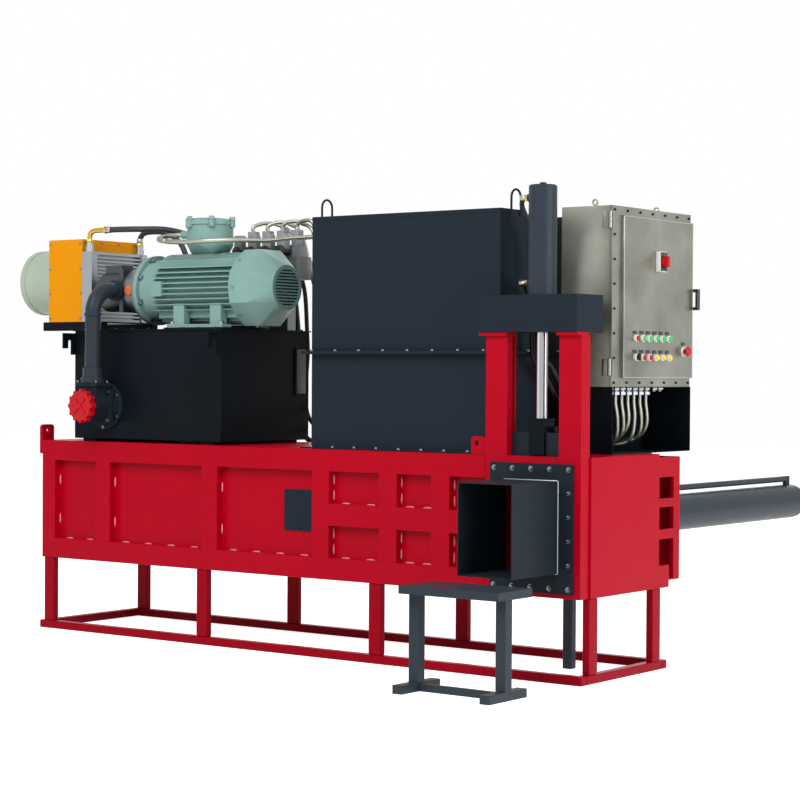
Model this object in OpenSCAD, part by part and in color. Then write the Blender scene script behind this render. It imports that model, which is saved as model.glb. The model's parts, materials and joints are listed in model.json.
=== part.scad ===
// Horizontal bagging press with feed hopper, power unit, lift gate, bag chute and bale ejector.
// Millimetres. Inside the machine, x runs from the left end (negative) to the outlet end at 0,
// y from the front face at 0 to the rear, z up from the floor.

/* [Base frame] */
// Height of the body's underside above the floor
base_h = 415; // [330:5:520]
// Width of a floor rail
rail_w = 50; // [44:2:70]
// Height of a floor rail
rail_h = 45; // [30:5:80]
// Wide face of a leg
leg_w = 80; // [60:5:110]
// Narrow face of a leg
leg_t = 40; // [30:2:42]
// Distance between legs along the body
leg_pitch = 1200; // [1000:10:1220]
// How far the rails reach past the left end of the body
rail_over = 20; // [10:5:60]
// Clear width left at a butt weld
weld_gap = 0.2; // [0.1:0.1:0.4]

/* [Press body] */
// Length of the press body
body_len = 3710; // [3650:10:4000]
// Width of the press body
body_w = 840; // [820:10:940]
// Height of the press body
body_h = 685; // [640:5:740]
// Height of the top and bottom bands, which is also the depth of floor and roof
band_h = 115; // [100:5:130]
// Width of an upright rib
rib_w = 115; // [90:5:130]
// Height of the middle bar between the two rows of small panels
mid_bar_h = 117; // [80:1:150]
// Depth of the recessed panels
rib_d = 45; // [20:1:55]
// Full thickness of a side wall with its liner
wall_t = 80; // [76:1:90]
// Panel widths from the gate portal to the left end
bay_w = [217, 217, 330, 669, 702, 330]; // [150:1:720]
// Number of panels, counted from the portal, that are split in two rows
split_bays = 3; // [0:1:6]
// Thickness of the left end plate
end_t = 25; // [15:1:40]
// Thickness of the chamber floor
floor_t = 20; // [10:1:30]
// Thickness of the top deck
deck_t = 20; // [10:1:30]
// Width of the stringers under the floor
stringer_w = 40; // [30:1:60]
// Thickness of the pressing wall at the outlet end
press_wall_t = 25; // [15:1:40]
// Thickness of the flat end panel
panel_t = 20; // [10:1:30]
// Width of the end panel
panel_w = 662; // [600:1:670]
// Side of the inspection cover
cover_w = 217; // [150:1:300]
// Thickness of the inspection cover
cover_t = 6; // [3:1:12]

/* [Lifting lugs] */
// Thickness of a lug plate
lug_t = 25; // [15:1:32]
// Width of a lug plate
lug_w = 94; // [70:1:110]
// Height of a lug above the body
lug_rise = 90; // [60:1:120]
// Hole in a lug
lug_hole = 26; // [16:1:36]

/* [Gate portal] */
// Width of a portal post
post_w = 128; // [110:1:140]
// Distance of the right post from the outlet end
post_inset = 10; // [5:1:15]
// Height of the posts above the body
post_rise = 590; // [560:5:640]
// Width of the gate opening and depth of the bale chamber
gate_open_w = 301; // [280:1:330]
// Thickness of the gate plate
gate_t = 16; // [10:1:20]
// Distance of the gate plate behind the front face
gate_back = 50; // [47:1:52]
// Depth of the gate grooves in the posts
groove_d = 20; // [12:1:30]
// Clear play of the gate in its grooves
gate_play = 1.5; // [0.5:0.5:3]
// Height of the gate plate
gate_h = 685; // [660:1:700]
// Thickness of the post cap plates
cap_t = 17; // [10:1:25]
// How far caps and beam stand in front of the posts
beam_front = 20; // [10:1:40]
// Length of the beam across the posts
beam_len = 562; // [545:1:575]
// Depth of the beam
beam_d = 245; // [200:1:260]
// Height of the beam
beam_h = 183; // [150:1:220]
// Wall thickness of the beam
beam_t = 15; // [8:1:25]

/* [Gate cylinder] */
// Distance of the cylinder axis behind the front face
gate_axis_y = 80; // [75:1:90]
// Outer diameter of the gate cylinder
gate_barrel_d = 141; // [125:1:155]
// Bore of the gate cylinder
gate_bore = 110; // [90:1:118]
// Diameter of the gate rod
gate_rod_d = 60; // [40:1:70]
// Lift of the gate
gate_stroke = 405; // [300:5:410]
// Radial running clearance of rods, shafts and pins
run_clear = 0.05; // [0.02:0.01:0.1]
// Width of the clevis block
clevis_w = 90; // [75:1:110]
// Height of the clevis block
clevis_h = 180; // [150:1:200]

/* [Chute] */
// Length of the chute in front of its flange
chute_len = 398; // [300:1:420]
// Sheet thickness of the chute
chute_t = 6; // [4:1:10]
// Thickness of the chute flange
chute_flange_t = 12; // [8:1:20]
// Width of the flange beside the chute
chute_flange_w = 86; // [60:1:95]

/* [Bag bench] */
// Length of the bench top
bench_len = 570; // [500:5:600]
// Depth of the bench top
bench_d = 280; // [240:5:300]
// Height of the bench top above the floor
bench_h = 505; // [460:1:520]
// Thickness of the bench top
bench_top_t = 40; // [25:1:50]
// Side of the bench tubes
bench_tube = 55; // [40:1:60]
// Height of the bench feet
bench_foot_h = 42; // [30:1:60]
// Length of the bench feet
bench_foot_len = 310; // [260:5:360]
// Distance of the bench feet from the front face
bench_front = 745; // [740:1:800]

/* [Hopper] */
// Length of the hopper along the body
hopper_len = 1208; // [1100:1:1240]
// Distance of the hopper from the rear face
hopper_rear = 57; // [40:1:62]
// Sheet thickness of the hopper
hopper_t = 5; // [3:1:8]
// Height of the lower hopper
lower_hopper_h = 509; // [450:1:560]
// Height of the upper hopper
upper_hopper_h = 721; // [600:1:800]
// Width of the hopper flanges
hop_flange_w = 42; // [30:1:43]
// Thickness of the hopper flanges
hop_flange_t = 8; // [5:1:12]
// Distance of the hopper from the bale chamber
hopper_setback = 101; // [90:1:104]
// Clear gap between hopper front and portal post
hopper_clear = 3; // [2:1:4]
// Thickness of the lifting loop bars
loop_bar = 12; // [8:1:16]
// Width of a lifting loop
loop_w = 98; // [80:1:120]
// Height of a lifting loop
loop_h = 100; // [80:1:140]

/* [Oil tank] */
// Length of the oil tank
tank_len = 1133; // [1080:1:1150]
// Distance of the tank from the rear face
tank_rear = 20; // [15:1:60]
// Height of the oil tank
tank_h = 620; // [560:1:660]
// Sheet thickness of the tank
tank_t = 6; // [4:1:10]
// Height of the pads under the tank
tank_pad_h = 15; // [8:1:25]
// Distance of the tank behind the front face
tank_y0 = 60; // [50:1:70]
// Gap between tank and hopper
tank_gap = 624; // [600:1:660]
// Thickness of the tank lid
lid_t = 8; // [5:1:12]
// Height of the cooler platform
platform_h = 52; // [40:1:60]

/* [Motor] */
// Height of the motor axis above the tank lid
motor_axis_h = 227; // [224:1:240]
// Distance of the motor axis behind the front face
motor_y = 280; // [275:1:290]
// How far the fan cover overhangs the tank
motor_over = 287; // [250:1:300]
// Length of the finned frame
motor_frame_len = 627; // [600:1:640]
// Diameter of the motor core
motor_core_d = 340; // [330:1:350]
// Outer diameter over the fins
motor_fin_d = 408; // [390:1:420]
// Thickness of a fin
fin_t = 7; // [4:1:10]
// Fin spacing
fin_pitch = 30; // [26:1:34]
// Diameter of the motor flange
motor_flange_d = 400; // [380:1:410]
// Fan cover across flats
fan_cover_w = 420; // [400:1:430]
// Length of the fan cover
fan_cover_len = 238; // [220:1:260]
// Diameter of the fan cover's end face
fan_end_d = 250; // [230:1:280]
// Diameter of the motor shaft
motor_shaft_d = 55; // [40:1:60]
// Diameter of the terminal box drum
terminal_d = 262; // [230:1:270]

/* [Pump and suction] */
// Length of the bell housing
bell_len = 147; // [130:1:170]
// Diameter of the bell housing
bell_d = 260; // [240:1:290]
// Length of the pump
pump_len = 286; // [270:1:300]
// Diameter of the pump
pump_d = 236; // [200:1:240]
// Diameter of the suction pipe
suction_d = 90; // [70:1:100]
// Bend radius of the suction elbow
suction_bend = 135; // [120:1:150]
// Diameter of the filter body
filter_d = 180; // [160:1:200]
// Height of the filter axis above the tank bottom
filter_h = 191; // [170:1:220]
// Distance of the filter axis from the bell housing
filter_x = 40; // [36:1:60]

/* [Oil cooler] */
// Depth of the cooler
cooler_w = 470; // [420:1:500]
// Thickness of the cooler core
core_t = 80; // [60:1:100]
// Height of the cooler core
core_h = 414; // [380:1:430]
// Depth of the shroud
shroud_len = 279; // [240:1:300]
// Height of the shroud
shroud_h = 489; // [440:1:520]
// Sheet thickness of the shroud
shroud_t = 4; // [2:1:6]
// Outer diameter of the round fan duct
cowl_d = 385; // [340:1:410]
// Length of the round fan duct
cowl_len = 291; // [285:1:340]
// Gap between cooler core and pump
cooler_gap = 35; // [25:1:60]
// Distance of the cooler behind the tank front
cooler_back = 160; // [120:1:200]

/* [Press ram] */
// Length of the ram box
ram_len = 1250; // [1225:5:1300]
// Thickness of the ram face
ram_face_t = 40; // [25:1:60]
// Wall thickness of the ram box
ram_wall = 16; // [10:1:25]
// Clear play of the ram in its channel
ram_play = 2; // [1:0.5:3]
// Outer diameter of the main cylinder
main_barrel_d = 260; // [220:1:280]
// Bore of the main cylinder
main_bore = 220; // [180:1:228]
// Diameter of the main rod
main_rod_d = 130; // [80:1:140]

/* [Ejector] */
// Outer diameter of the ejector cylinder
ej_barrel_d = 197; // [180:1:220]
// Length of the ejector cylinder
ej_barrel_len = 1720; // [1600:10:1800]
// Bore of the ejector cylinder
ej_bore = 165; // [120:1:170]
// Diameter of the ejector rod
ej_rod_d = 80; // [50:1:100]
// Thickness of the pusher plate
ej_plate_t = 60; // [40:1:70]
// Depth of the ejector housing behind the body
housing_len = 290; // [260:1:320]
// Thickness of the housing plates
housing_t = 25; // [15:1:30]

/* [Cabinet] */
// Width of the cabinet
cab_w = 801; // [760:1:840]
// Height of the cabinet
cab_h = 910; // [850:1:960]
// Depth of the cabinet box
cab_d = 285; // [240:1:295]
// Sheet thickness of cabinet and stand
cab_t = 4; // [2:1:6]
// Height of the open stand under the cabinet
stand_h = 340; // [300:1:380]
// Distance of the cabinet from the front face
cab_y0 = 453; // [440:1:480]
// Distance of the cabinet box from the outlet end
cab_inset = 130; // [120:1:140]
// Thickness of the door flange
door_t = 12; // [8:1:15]
// Height of the raised door panel
door_raise = 16; // [8:1:20]
// Width of the bolted margin at the hinge side
door_margin = 90; // [60:1:110]
// Distance between push buttons
button_pitch = 66; // [58:1:70]
// Diameter of a push button's collar
collar_d = 34; // [28:1:40]
// Travel of a push button
button_travel = 6; // [3:0.5:8]
// Diameter of the conduits
conduit_d = 26; // [18:1:28]
// Distance between cable glands
gland_pitch = 62; // [50:1:66]
// Number of cable glands with a conduit
gland_n = 8; // [4:1:8]

/* [Hidden] */
$fn = 64;

// Colours
press_red = "#B4001E";
dark_grey = "#2B333B";
chute_grey = "#3A444C";
motor_green = "#86A498";
cooler_yellow = "#F5A300";
duct_cream = "#C8CDB8";
core_grey = "#8F9AA0";
stainless = "#A5A598";
black = "#15171A";
chrome = "#C8CCD0";
signal_red = "#D81E2A";
signal_green = "#20C060";
signal_yellow = "#E8D820";
conduit_grey = "#B5B5AC";

// Overshoot that lets a cut pass clean through a face
cut = 1;

// Heights of the body
body_z0 = base_h;
body_z1 = base_h + body_h;
floor_z = body_z0 + band_h;
ceil_z = body_z1 - band_h;
ch_zc = (floor_z + ceil_z) / 2;
// Chamber between the side walls
ch_y0 = wall_t;
ch_y1 = body_w - wall_t;
ch_yc = body_w / 2;
// Portal and bale chamber along the body
right_post_x1 = -post_inset;
gate_x1 = right_post_x1 - post_w;
gate_x0 = gate_x1 - gate_open_w;
gate_xc = (gate_x0 + gate_x1) / 2;
left_post_x0 = gate_x0 - post_w;
post_top = body_z1 + post_rise;
body_x0 = -body_len;
// Rear wall stops short of the outlet end
rear_inset = 100;

// Base frame
leg_x0 = body_x0 + 12;
leg_n = 3;
end_leg_y = [70, 680];

// Gate
groove_w = gate_t + 2 * gate_play;
groove_y0 = gate_back - gate_play;
gate_w = gate_open_w + 2 * (groove_d - gate_play);
gate_z0 = floor_z + 0.5;
gate_sill_d = gate_back - 5;

// Portal beam and gate cylinder
beam_z0 = post_top + cap_t;
beam_z1 = beam_z0 + beam_h;
beam_x1 = -post_inset - 18;
beam_x0 = beam_x1 - beam_len;
beam_lip_h = 28;
beam_lip_d = 6;
beam_plate_t = 20;
gate_gland_h = 25;
gate_piston_h = 50;
gate_barrel_h = gate_stroke + gate_piston_h + 2 * gate_gland_h + 35;
clevis_z0 = body_z1 + 5;
clevis_z1 = clevis_z0 + clevis_h;
clevis_d = 90;
clevis_y0 = gate_axis_y - clevis_d / 2;
gate_rod_seat = 34;

// Chute
chute_h = ceil_z - floor_z - 6;
chute_z1 = ceil_z;
chute_z0 = chute_z1 - chute_h;
chute_w = gate_open_w + 2 * chute_t;
chute_y0 = -chute_flange_t - chute_len;
chute_flange_low = 99;
chute_flange_high = 82;

// Bench
bench_xc = gate_xc - 12;
bench_y0 = -bench_front;
bench_tube_x = 248;

// Hopper
hop_x1 = gate_x0 - hopper_setback;
hop_x0 = hop_x1 - hopper_len;
hop_y0 = wall_t + hopper_clear;
hop_y1 = body_w - hopper_rear;
hop_z0 = body_z1;
hop_zm = hop_z0 + lower_hopper_h;
hop_z1 = hop_zm + upper_hopper_h;
hop_step_y = hop_y0 + 232;
hop_step = 18;
hop_rim = 22;

// Tank
tank_x1 = hop_x0 - tank_gap;
tank_x0 = tank_x1 - tank_len;
tank_y1 = body_w - tank_rear;
tank_z0 = body_z1 + tank_pad_h;
tank_z1 = tank_z0 + tank_h;
lid_z1 = tank_z1 + lid_t;
lid_over = 10;
hook_len = 104;
hook_h = 125;
hook_t = 14;

// Motor and pump, axis along x
motor_z = lid_z1 + motor_axis_h;
motor_x1 = tank_x1 + motor_over;
cover_x0 = motor_x1 - fan_cover_len;
frame_x0 = cover_x0 - motor_frame_len;
shield_len = 90;
flange_len = 26;
motor_x0 = frame_x0 - shield_len - flange_len;
bell_x0 = motor_x0 - bell_len;
pump_x0 = bell_x0 - pump_len;
foot_bar_h = 8;
foot_t = 18;
foot_x0 = frame_x0 + 150;
foot_len = 415;
foot_y = 200;
foot_w = 78;
terminal_x = frame_x0 + 296;
pad_z1 = motor_z + 195;
neck_h = 62;
drum_h = 105;
lid_drum_h = 36;
shaft_end = 18;

// Suction line
filter_ax = bell_x0 - filter_x;
filter_az = tank_z0 + filter_h;
filter_flange_t = 15;
filter_len = 155;
filter_y0 = tank_y0 - filter_flange_t - filter_len;
suction_y = filter_y0 + 62;
port_z0 = filter_az + filter_d / 2 - 8;
port_z1 = filter_az + 133;
pump_port_y = motor_y - max(pump_d / 2 + 7, bell_d / 2) - 3;

// Cooler, axis along x
core_x1 = pump_x0 - cooler_gap;
core_x0 = core_x1 - core_t;
shroud_x0 = core_x0 - shroud_len;
cowl_x0 = shroud_x0 - cowl_len;
cooler_y0 = tank_y0 + cooler_back;
cooler_y1 = cooler_y0 + cooler_w;
cooler_yc = (cooler_y0 + cooler_y1) / 2;
cooler_z0 = lid_z1 + platform_h;
cooler_zc = cooler_z0 + 247;
side_tank_w = 48;
slat_n = 18;
cowl_t = 5;
fan_motor_x = [cowl_x0 + 24, cowl_x0 + 200];
fan_hub_x = fan_motor_x[1] + 20;

// Press ram, axis along x
ram_x1 = hop_x0 - 12;
ram_x0 = ram_x1 - ram_len;
barrel_x0 = body_x0 + end_t;
barrel_x1 = ram_x1 - ram_face_t - 280;
main_gland = 40;
main_piston = 80;
main_piston_x = barrel_x0 + 120;

// Ejector, axis along y
ej_y0 = body_w + housing_len;
ej_y1 = ej_y0 + ej_barrel_len;
ej_plate_y = ch_y1 + 5;
ej_gland = 30;
ej_cap = 60;
ej_piston = 60;
ej_play = 3;
housing_x0 = gate_x0 - 36;
housing_x1 = gate_x1 + 38;
housing_z0 = body_z0 + 15;
housing_z1 = body_z1 - 25;
rung_z = [[floor_z - 90, 648 - 415 + body_z0], [700 - 415 + body_z0, 814 - 415 + body_z0],
  [860 - 415 + body_z0, 970 - 415 + body_z0]];

// Cabinet, door faces +x
cab_x1 = -cab_inset;
cab_x0 = cab_x1 - cab_d;
cab_y1 = cab_y0 + cab_w;
cab_z0 = body_z1 + stand_h;
cab_z1 = cab_z0 + cab_h;
door_gap = 2;
door_x0 = cab_x1 + door_gap;
door_x1 = door_x0 + door_t;
panel_x1 = door_x1 + door_raise;
panel_edge = 45;
hinge_d = 20;
hinge_pin_d = 8;
hinge_x = door_x0 + 6;
hinge_y = cab_y0 - hinge_d / 2 - 2;
hinge_len = 84;
hinge_z = [cab_z0 + 57, cab_z1 - 114];
hinge_play = 0.5;
collar_len = 12;
stem_d = 18;
stem_back = 10;
cap_gap = 0.5;
button_cap_d = 28;
button_cap_len = 9;
row_1_z = cab_z0 + 247;
row_2_z = cab_z0 + 150;
row_y0 = cab_y0 + 199;
button_y = [for (i = [0:5]) row_y0 + i * button_pitch];
switch_y = cab_y1 - 359;
switch_z = cab_z1 - 265;
switch_box_t = 26;
stop_y = cab_y1 - 104;
stop_z = cab_z0 + 185;
switch_stem = 14;
gland_x = (cab_x0 + cab_x1) / 2;
gland_edge = 50.4;
gland_y0 = cab_y1 - gland_edge - (gland_n + 1.3) * gland_pitch;
gland_len = 40;
gland_d = 38;

// The model's own origin: middle of the whole machine on the floor
shift_x = -cowl_x0 / 2;
shift_y = -(bench_y0 + ej_y1) / 2;

// Valve manifold
valve_len = 480;
valve_over = 80;
valve_d = 132;
valve_h = 130;
valve_lift = 290;
valve_back = 98;
valve_n = 4;
valve_pitch = 110;
valve_end = 80;
slice_h = 66;
coil_d = 52;
coil_len = 74;
plug_w = 48;
plug_h = 90;
valve_x1 = tank_x1 + valve_over;
valve_x0 = valve_x1 - valve_len;
valve_y1 = body_w - valve_back;
valve_y0 = valve_y1 - valve_d;
valve_z0 = lid_z1 + valve_lift;
valve_z1 = valve_z0 + valve_h;
plug_y = valve_y1 - 42;
plug_z1 = valve_z1 + slice_h + plug_h;

// Routes of hoses and conduits
hose_d = 34;
small_hose_d = 26;
lane_y = body_w + 46;
lane_z = body_z1 - 115;
hop_back = hop_y1 + hop_flange_w + 20;
corridor_x = (hop_x1 + hop_flange_w + cab_x0) / 2;
cable_y = motor_y - 40;
cable_z = pad_z1 + neck_h + 54;
entry_z = cab_z0 - 84;
lane_step = 32;
gate_port_x = gate_xc - gate_barrel_d / 2 - 14;
gate_port_z = [beam_z1 + 60, beam_z1 + gate_barrel_h - 60];
behind_beam = beam_d - beam_front + 40;
ej_boss_y = ej_y0 + 70;
ej_boss_z = ch_zc + ej_barrel_d / 2 + 10;
ej_pipe_y = ej_y0 + 200;
ej_pipe_z = ch_zc + ej_barrel_d / 2 + 34;
port_wall = body_w - rib_d;
rod_port_x = bay_x1(3) - 504;
cap_port_x = bay_x1(5) - 283;
core_xc = (core_x0 + core_x1) / 2;
core_port_z = cooler_z0 + core_h + 53;
core_port_y = [cooler_y0 + side_tank_w / 2, cooler_y1 - side_tank_w / 2];
conduit_drift = [-14, -10, 30, 26, 4, 0, 20, 14];
conduit_fall = [60, 40, 30, 50, 70, 35, 50, 65];

function plug_x(i) = valve_x0 + valve_end + i * valve_pitch;
function valve_port(i) = [valve_x0 + 20 + 80 * i, valve_y1, valve_z0 + 47];
// Last stretch of a hose, up behind the tank into a manifold port
function rise(i, y, low_z) = [
  valve_port(i) + [40, y - valve_y1, low_z - valve_z0],
  valve_port(i) + [12, y - valve_y1 - 16, -420],
  valve_port(i) + [2, lane_y - valve_y1 - 30, -130],
  valve_port(i) + [0, 70, -10],
  valve_port(i) + [0, 40, 0],
  valve_port(i)
];
// Stretch from behind the body through the gap beside the hopper up behind the beam
function corridor(x, z) = [
  [x - 90, lane_y + 10, z],
  [x - 6, lane_y - 40, z + 6],
  [x, body_w - 60, z + 26],
  [x, body_w - 260, z + 140],
  [x, cab_y0 - 60, z + 330],
  [x, behind_beam + 20, beam_z0 - 120],
  [x, behind_beam, beam_z0 + 90]
];
function reversed(p) = [for (i = [len(p) - 1:-1:0]) p[i]];
gate_hose_low = concat(
  [[gate_port_x, gate_axis_y, gate_port_z[0]], [gate_port_x - 24, gate_axis_y, gate_port_z[0]],
  [gate_port_x - 70, gate_axis_y + 40, gate_port_z[0] + 14],
  [corridor_x - 17, behind_beam - 50, gate_port_z[0] - 12]],
  reversed(corridor(corridor_x - 17, body_z1 + 60)),
  [[hop_x1 - 500, lane_y + 14, body_z1 + 56], [hop_x0 - 60, lane_y + 14, body_z1 + 70]],
  rise(4, lane_y, body_z1 + 60));
gate_hose_high = concat(
  [[gate_port_x, gate_axis_y, gate_port_z[1]], [gate_port_x - 26, gate_axis_y, gate_port_z[1]],
  [gate_port_x - 70, gate_axis_y + 50, gate_port_z[1] - 40],
  [corridor_x + 17, behind_beam - 40, gate_port_z[1] - 190]],
  reversed(corridor(corridor_x + 17, body_z1 + 110)),
  [[hop_x1 - 500, lane_y + 16, body_z1 + 106], [hop_x0 - 60, lane_y + 16, body_z1 + 124]],
  rise(5, lane_y, body_z1 + 160));
ejector_hose = concat(
  [[gate_xc, ej_boss_y, ej_boss_z], [gate_xc, ej_boss_y, ej_boss_z + 50],
  [gate_xc - 40, ej_boss_y, ej_boss_z + 96],
  [gate_xc - 150, ej_boss_y, ej_boss_z + 116], [housing_x0 - 50, ej_y0 + 10, lane_z],
  [housing_x0 - 84, ej_y0 - 120, lane_z], [housing_x0 - 200, lane_y + 14, lane_z],
  [hop_x1 - 500, lane_y, lane_z - 10], [hop_x0 - 80, lane_y, lane_z]],
  rise(2, lane_y + 6, body_z1 - 90));
ejector_pipe_hose = concat(
  [[gate_xc, ej_pipe_y, ej_pipe_z], [gate_xc, ej_pipe_y - 26, ej_pipe_z],
  [gate_xc - 40, ej_pipe_y - 80, ej_pipe_z + 60],
  [gate_xc - 140, ej_pipe_y - 110, ej_pipe_z + 140], [housing_x0 - 70, ej_y0 + 6, lane_z + 64],
  [housing_x0 - 96, ej_y0 - 110, lane_z + 70], [housing_x0 - 190, lane_y + 34, lane_z + 66],
  [hop_x1 - 500, lane_y + 12, lane_z + 60], [hop_x0 - 120, lane_y + 12, lane_z + 70]],
  rise(3, lane_y + 16, body_z1 - 10));
main_hose_rod = concat(
  [[rod_port_x, port_wall, ch_zc], [rod_port_x, port_wall + 60, ch_zc],
  [rod_port_x - 30, lane_y + 26, ch_zc + 40],
  [rod_port_x - 150, lane_y + 52, ch_zc + 140]],
  rise(1, lane_y + 56, body_z1 - 100));
main_hose_cap = concat(
  [[cap_port_x, port_wall, ch_zc], [cap_port_x, port_wall + 60, ch_zc],
  [cap_port_x + 30, lane_y + 30, ch_zc + 40],
  [cap_port_x + 200, lane_y + 34, ch_zc + 150], [cap_port_x + 460, lane_y + 26, ch_zc + 280]],
  rise(0, lane_y + 16, body_z1 + 140));
cooler_hose_front = [
  [core_xc, core_port_y[0], core_port_z], [core_xc, core_port_y[0], core_port_z + 34],
  [core_xc + 10, core_port_y[0], core_port_z + 58],
  [core_xc + 40, core_port_y[0] + 2, core_port_z + 70],
  [core_xc + 110, core_port_y[0] + 8, core_port_z + 72],
  [core_xc + 330, core_port_y[0] + 60, core_port_z + 72],
  [bell_x0 + 120, motor_y + 150, core_port_z + 66], [bell_x0 + 250, motor_y + 296, core_port_z],
  [valve_x0 - 130, valve_y0 + 4, lid_z1 + 390], [valve_x0 - 112, valve_y0 + 10, lid_z1 + 200],
  [valve_x0 - 110, valve_y0 + 10, lid_z1 + 50], [valve_x0 - 110, valve_y0 + 10, lid_z1]
];
cooler_hose_rear = [
  [core_xc, core_port_y[1], core_port_z], [core_xc, core_port_y[1], core_port_z + 36],
  [core_xc + 18, core_port_y[1] + 4, core_port_z + 72],
  [core_xc + 76, core_port_y[1] + 12, core_port_z + 86],
  [core_xc + 200, core_port_y[1] + 22, core_port_z + 74], [core_xc + 320, core_port_y[1] + 26, core_port_z],
  [core_xc + 376, core_port_y[1] + 28, core_port_z - 150],
  [core_xc + 384, core_port_y[1] + 28, lid_z1 + 200],
  [core_xc + 384, core_port_y[1] + 28, lid_z1 + 50], [core_xc + 384, core_port_y[1] + 28, lid_z1]
];
motor_cable = [
  [terminal_x - terminal_d / 2 - 42, cable_y, cable_z],
  [terminal_x - terminal_d / 2 - 80, cable_y, cable_z],
  [terminal_x - 250, cable_y - 66, cable_z - 10], [terminal_x - 226, cable_y - 140, cable_z - 30],
  [terminal_x - 136, cable_y - 168, cable_z - 46], [terminal_x + 4, cable_y - 174, cable_z - 54],
  [terminal_x + 154, cable_y - 150, cable_z - 50], [cover_x0 - 40, cable_y - 60, cable_z - 46],
  [cover_x0 + 40, motor_y + 50, cable_z - 44], [motor_x1 - 120, motor_y + 240, cable_z - 20],
  [motor_x1 + 10, plug_y, cable_z - 26], [hop_x0 - 150, hop_back - 45, cable_z - 171],
  [hop_x0 + 50, hop_back, hop_zm + 351], [hop_x0 + 350, hop_back + 2, hop_zm + 260],
  [hop_x1 - 400, hop_back + 2, hop_zm + 31], [hop_x1 - 120, hop_back + 2, entry_z + 94],
  [corridor_x, hop_back + 2, entry_z + 48], [cab_x0, hop_back + 2, entry_z + 48]
];
// From a valve plug over its neighbours, down behind the hopper and into the cabinet stand
harness_bend = [-178, -88, 30, 60];
function harness(i) = let (y = plug_y + lane_step * (valve_n - 1 - i)) [
  [plug_x(i), plug_y, plug_z1],
  [plug_x(i), plug_y, plug_z1 + 30],
  [plug_x(i) + 44, (plug_y + y) / 2, plug_z1 + 52],
  [plug_x(i) + valve_pitch, y, plug_z1 + 42],
  [valve_x1 + harness_bend[i], y, plug_z1 - 20 - 10 * i],
  [valve_x1 + 12 + 24 * i, y, plug_z1 - 239 - 100 * i],
  [hop_x0 - 300, (y + hop_back) / 2, plug_z1 - 369 - 88 * i],
  [hop_x0 - 40, hop_back, plug_z1 - 489 - 65 * i],
  [hop_x0 + 300, hop_back, hop_zm + 110 - 40 * i],
  [hop_x1 - 420, hop_back, hop_zm - 80 - 30 * i],
  [hop_x1 - 120, hop_back, entry_z + 30 - 30 * i],
  [corridor_x, hop_back, entry_z - 30 * i],
  [cab_x0, hop_back, entry_z - 30 * i]
];

// Vector helpers and a tube swept along a smooth curve through hand-placed points
function unit(v) = v / norm(v);
function blend_point(a, b, c, d, t) =
  0.5 * (2 * b + (c - a) * t + (2 * a - 5 * b + 4 * c - d) * t * t + (3 * b - a - 3 * c + d) * t * t * t);
function curve(p, n) = concat(
  [for (i = [0:len(p) - 2]) for (k = [0:n - 1])
    blend_point(p[max(i - 1, 0)], p[i], p[i + 1], p[min(i + 2, len(p) - 1)], k / n)],
  [p[len(p) - 1]]);
function directions(p, q) = [for (i = [0:len(q) - 1])
  i == 0 ? unit(p[1] - p[0]) :
  i == len(q) - 1 ? unit(p[len(p) - 1] - p[len(p) - 2]) : unit(q[i + 1] - q[i - 1])];
function square_to(u, t) = unit(u - (u * t) * t);
function first_up(t) = square_to(abs(t[2]) < 0.9 ? [0, 0, 1] : [1, 0, 0], t);
function ups(t, i, u) = i == len(t) - 1 ? [u] : concat([u], ups(t, i + 1, square_to(u, t[i + 1])));
function ring(c, t, u, r, s) =
  [for (k = [0:s - 1]) c + r * (cos(360 * k / s) * u + sin(360 * k / s) * cross(t, u))];

module tube(points, d, per_span = 2, sides = 8) {
  q = curve(points, per_span);
  n = len(q);
  t = directions(points, q);
  u = ups(t, 0, first_up(t[0]));
  rings = [for (i = [0:n - 1]) for (p = ring(q[i], t[i], u[i], d / 2, sides)) p];
  walls = [for (i = [0:n - 2]) for (k = [0:sides - 1])
    [i * sides + k, (i + 1) * sides + k, (i + 1) * sides + (k + 1) % sides, i * sides + (k + 1) % sides]];
  start_cap = [[for (k = [0:sides - 1]) k]];
  end_cap = [[for (k = [0:sides - 1]) n * sides - 1 - k]];
  polyhedron(points = rings, faces = concat(walls, start_cap, end_cap));
}

// Basic shapes by their limits
module place() {
  translate([shift_x, shift_y, 0]) children();
}
module box(x, y, z) {
  translate([x[0], y[0], z[0]]) cube([x[1] - x[0], y[1] - y[0], z[1] - z[0]]);
}
module rod_x(d, x, y, z) {
  translate([x[0], y, z]) rotate([0, 90, 0]) cylinder(d = d, h = x[1] - x[0]);
}
module rod_y(d, x, y, z) {
  translate([x, y[0], z]) rotate([-90, 0, 0]) cylinder(d = d, h = y[1] - y[0]);
}
module rod_z(d, x, y, z) {
  translate([x, y, z[0]]) cylinder(d = d, h = z[1] - z[0]);
}
module cone_x(d1, d2, x, y, z) {
  translate([x[0], y, z]) rotate([0, 90, 0]) cylinder(d1 = d1, d2 = d2, h = x[1] - x[0]);
}

// Base frame
module leg(x, y) {
  box(x, y, [rail_h + weld_gap, body_z0]);
}
module base_frame() color(press_red) place() {
  rail_x0 = body_x0 - rail_over;
  rail_y1 = body_w - 10;
  for (y = [0, rail_y1 - rail_w])
    box([rail_x0, 0], [y, y + rail_w], [0, rail_h]);
  for (x = [rail_x0, -rail_w])
    box([x, x + rail_w], [rail_w + weld_gap, rail_y1 - rail_w - weld_gap], [0, rail_h]);
  leg_in = (rail_w - leg_t) / 2;
  for (i = [0:leg_n - 1]) {
    x = leg_x0 + i * leg_pitch;
    leg([x, x + leg_w], [leg_in, leg_in + leg_t]);
    leg([x, x + leg_w], [rail_y1 - leg_in - leg_t, rail_y1 - leg_in]);
  }
  for (y = end_leg_y)
    leg([-leg_t, 0], [y, y + leg_w]);
}

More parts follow.
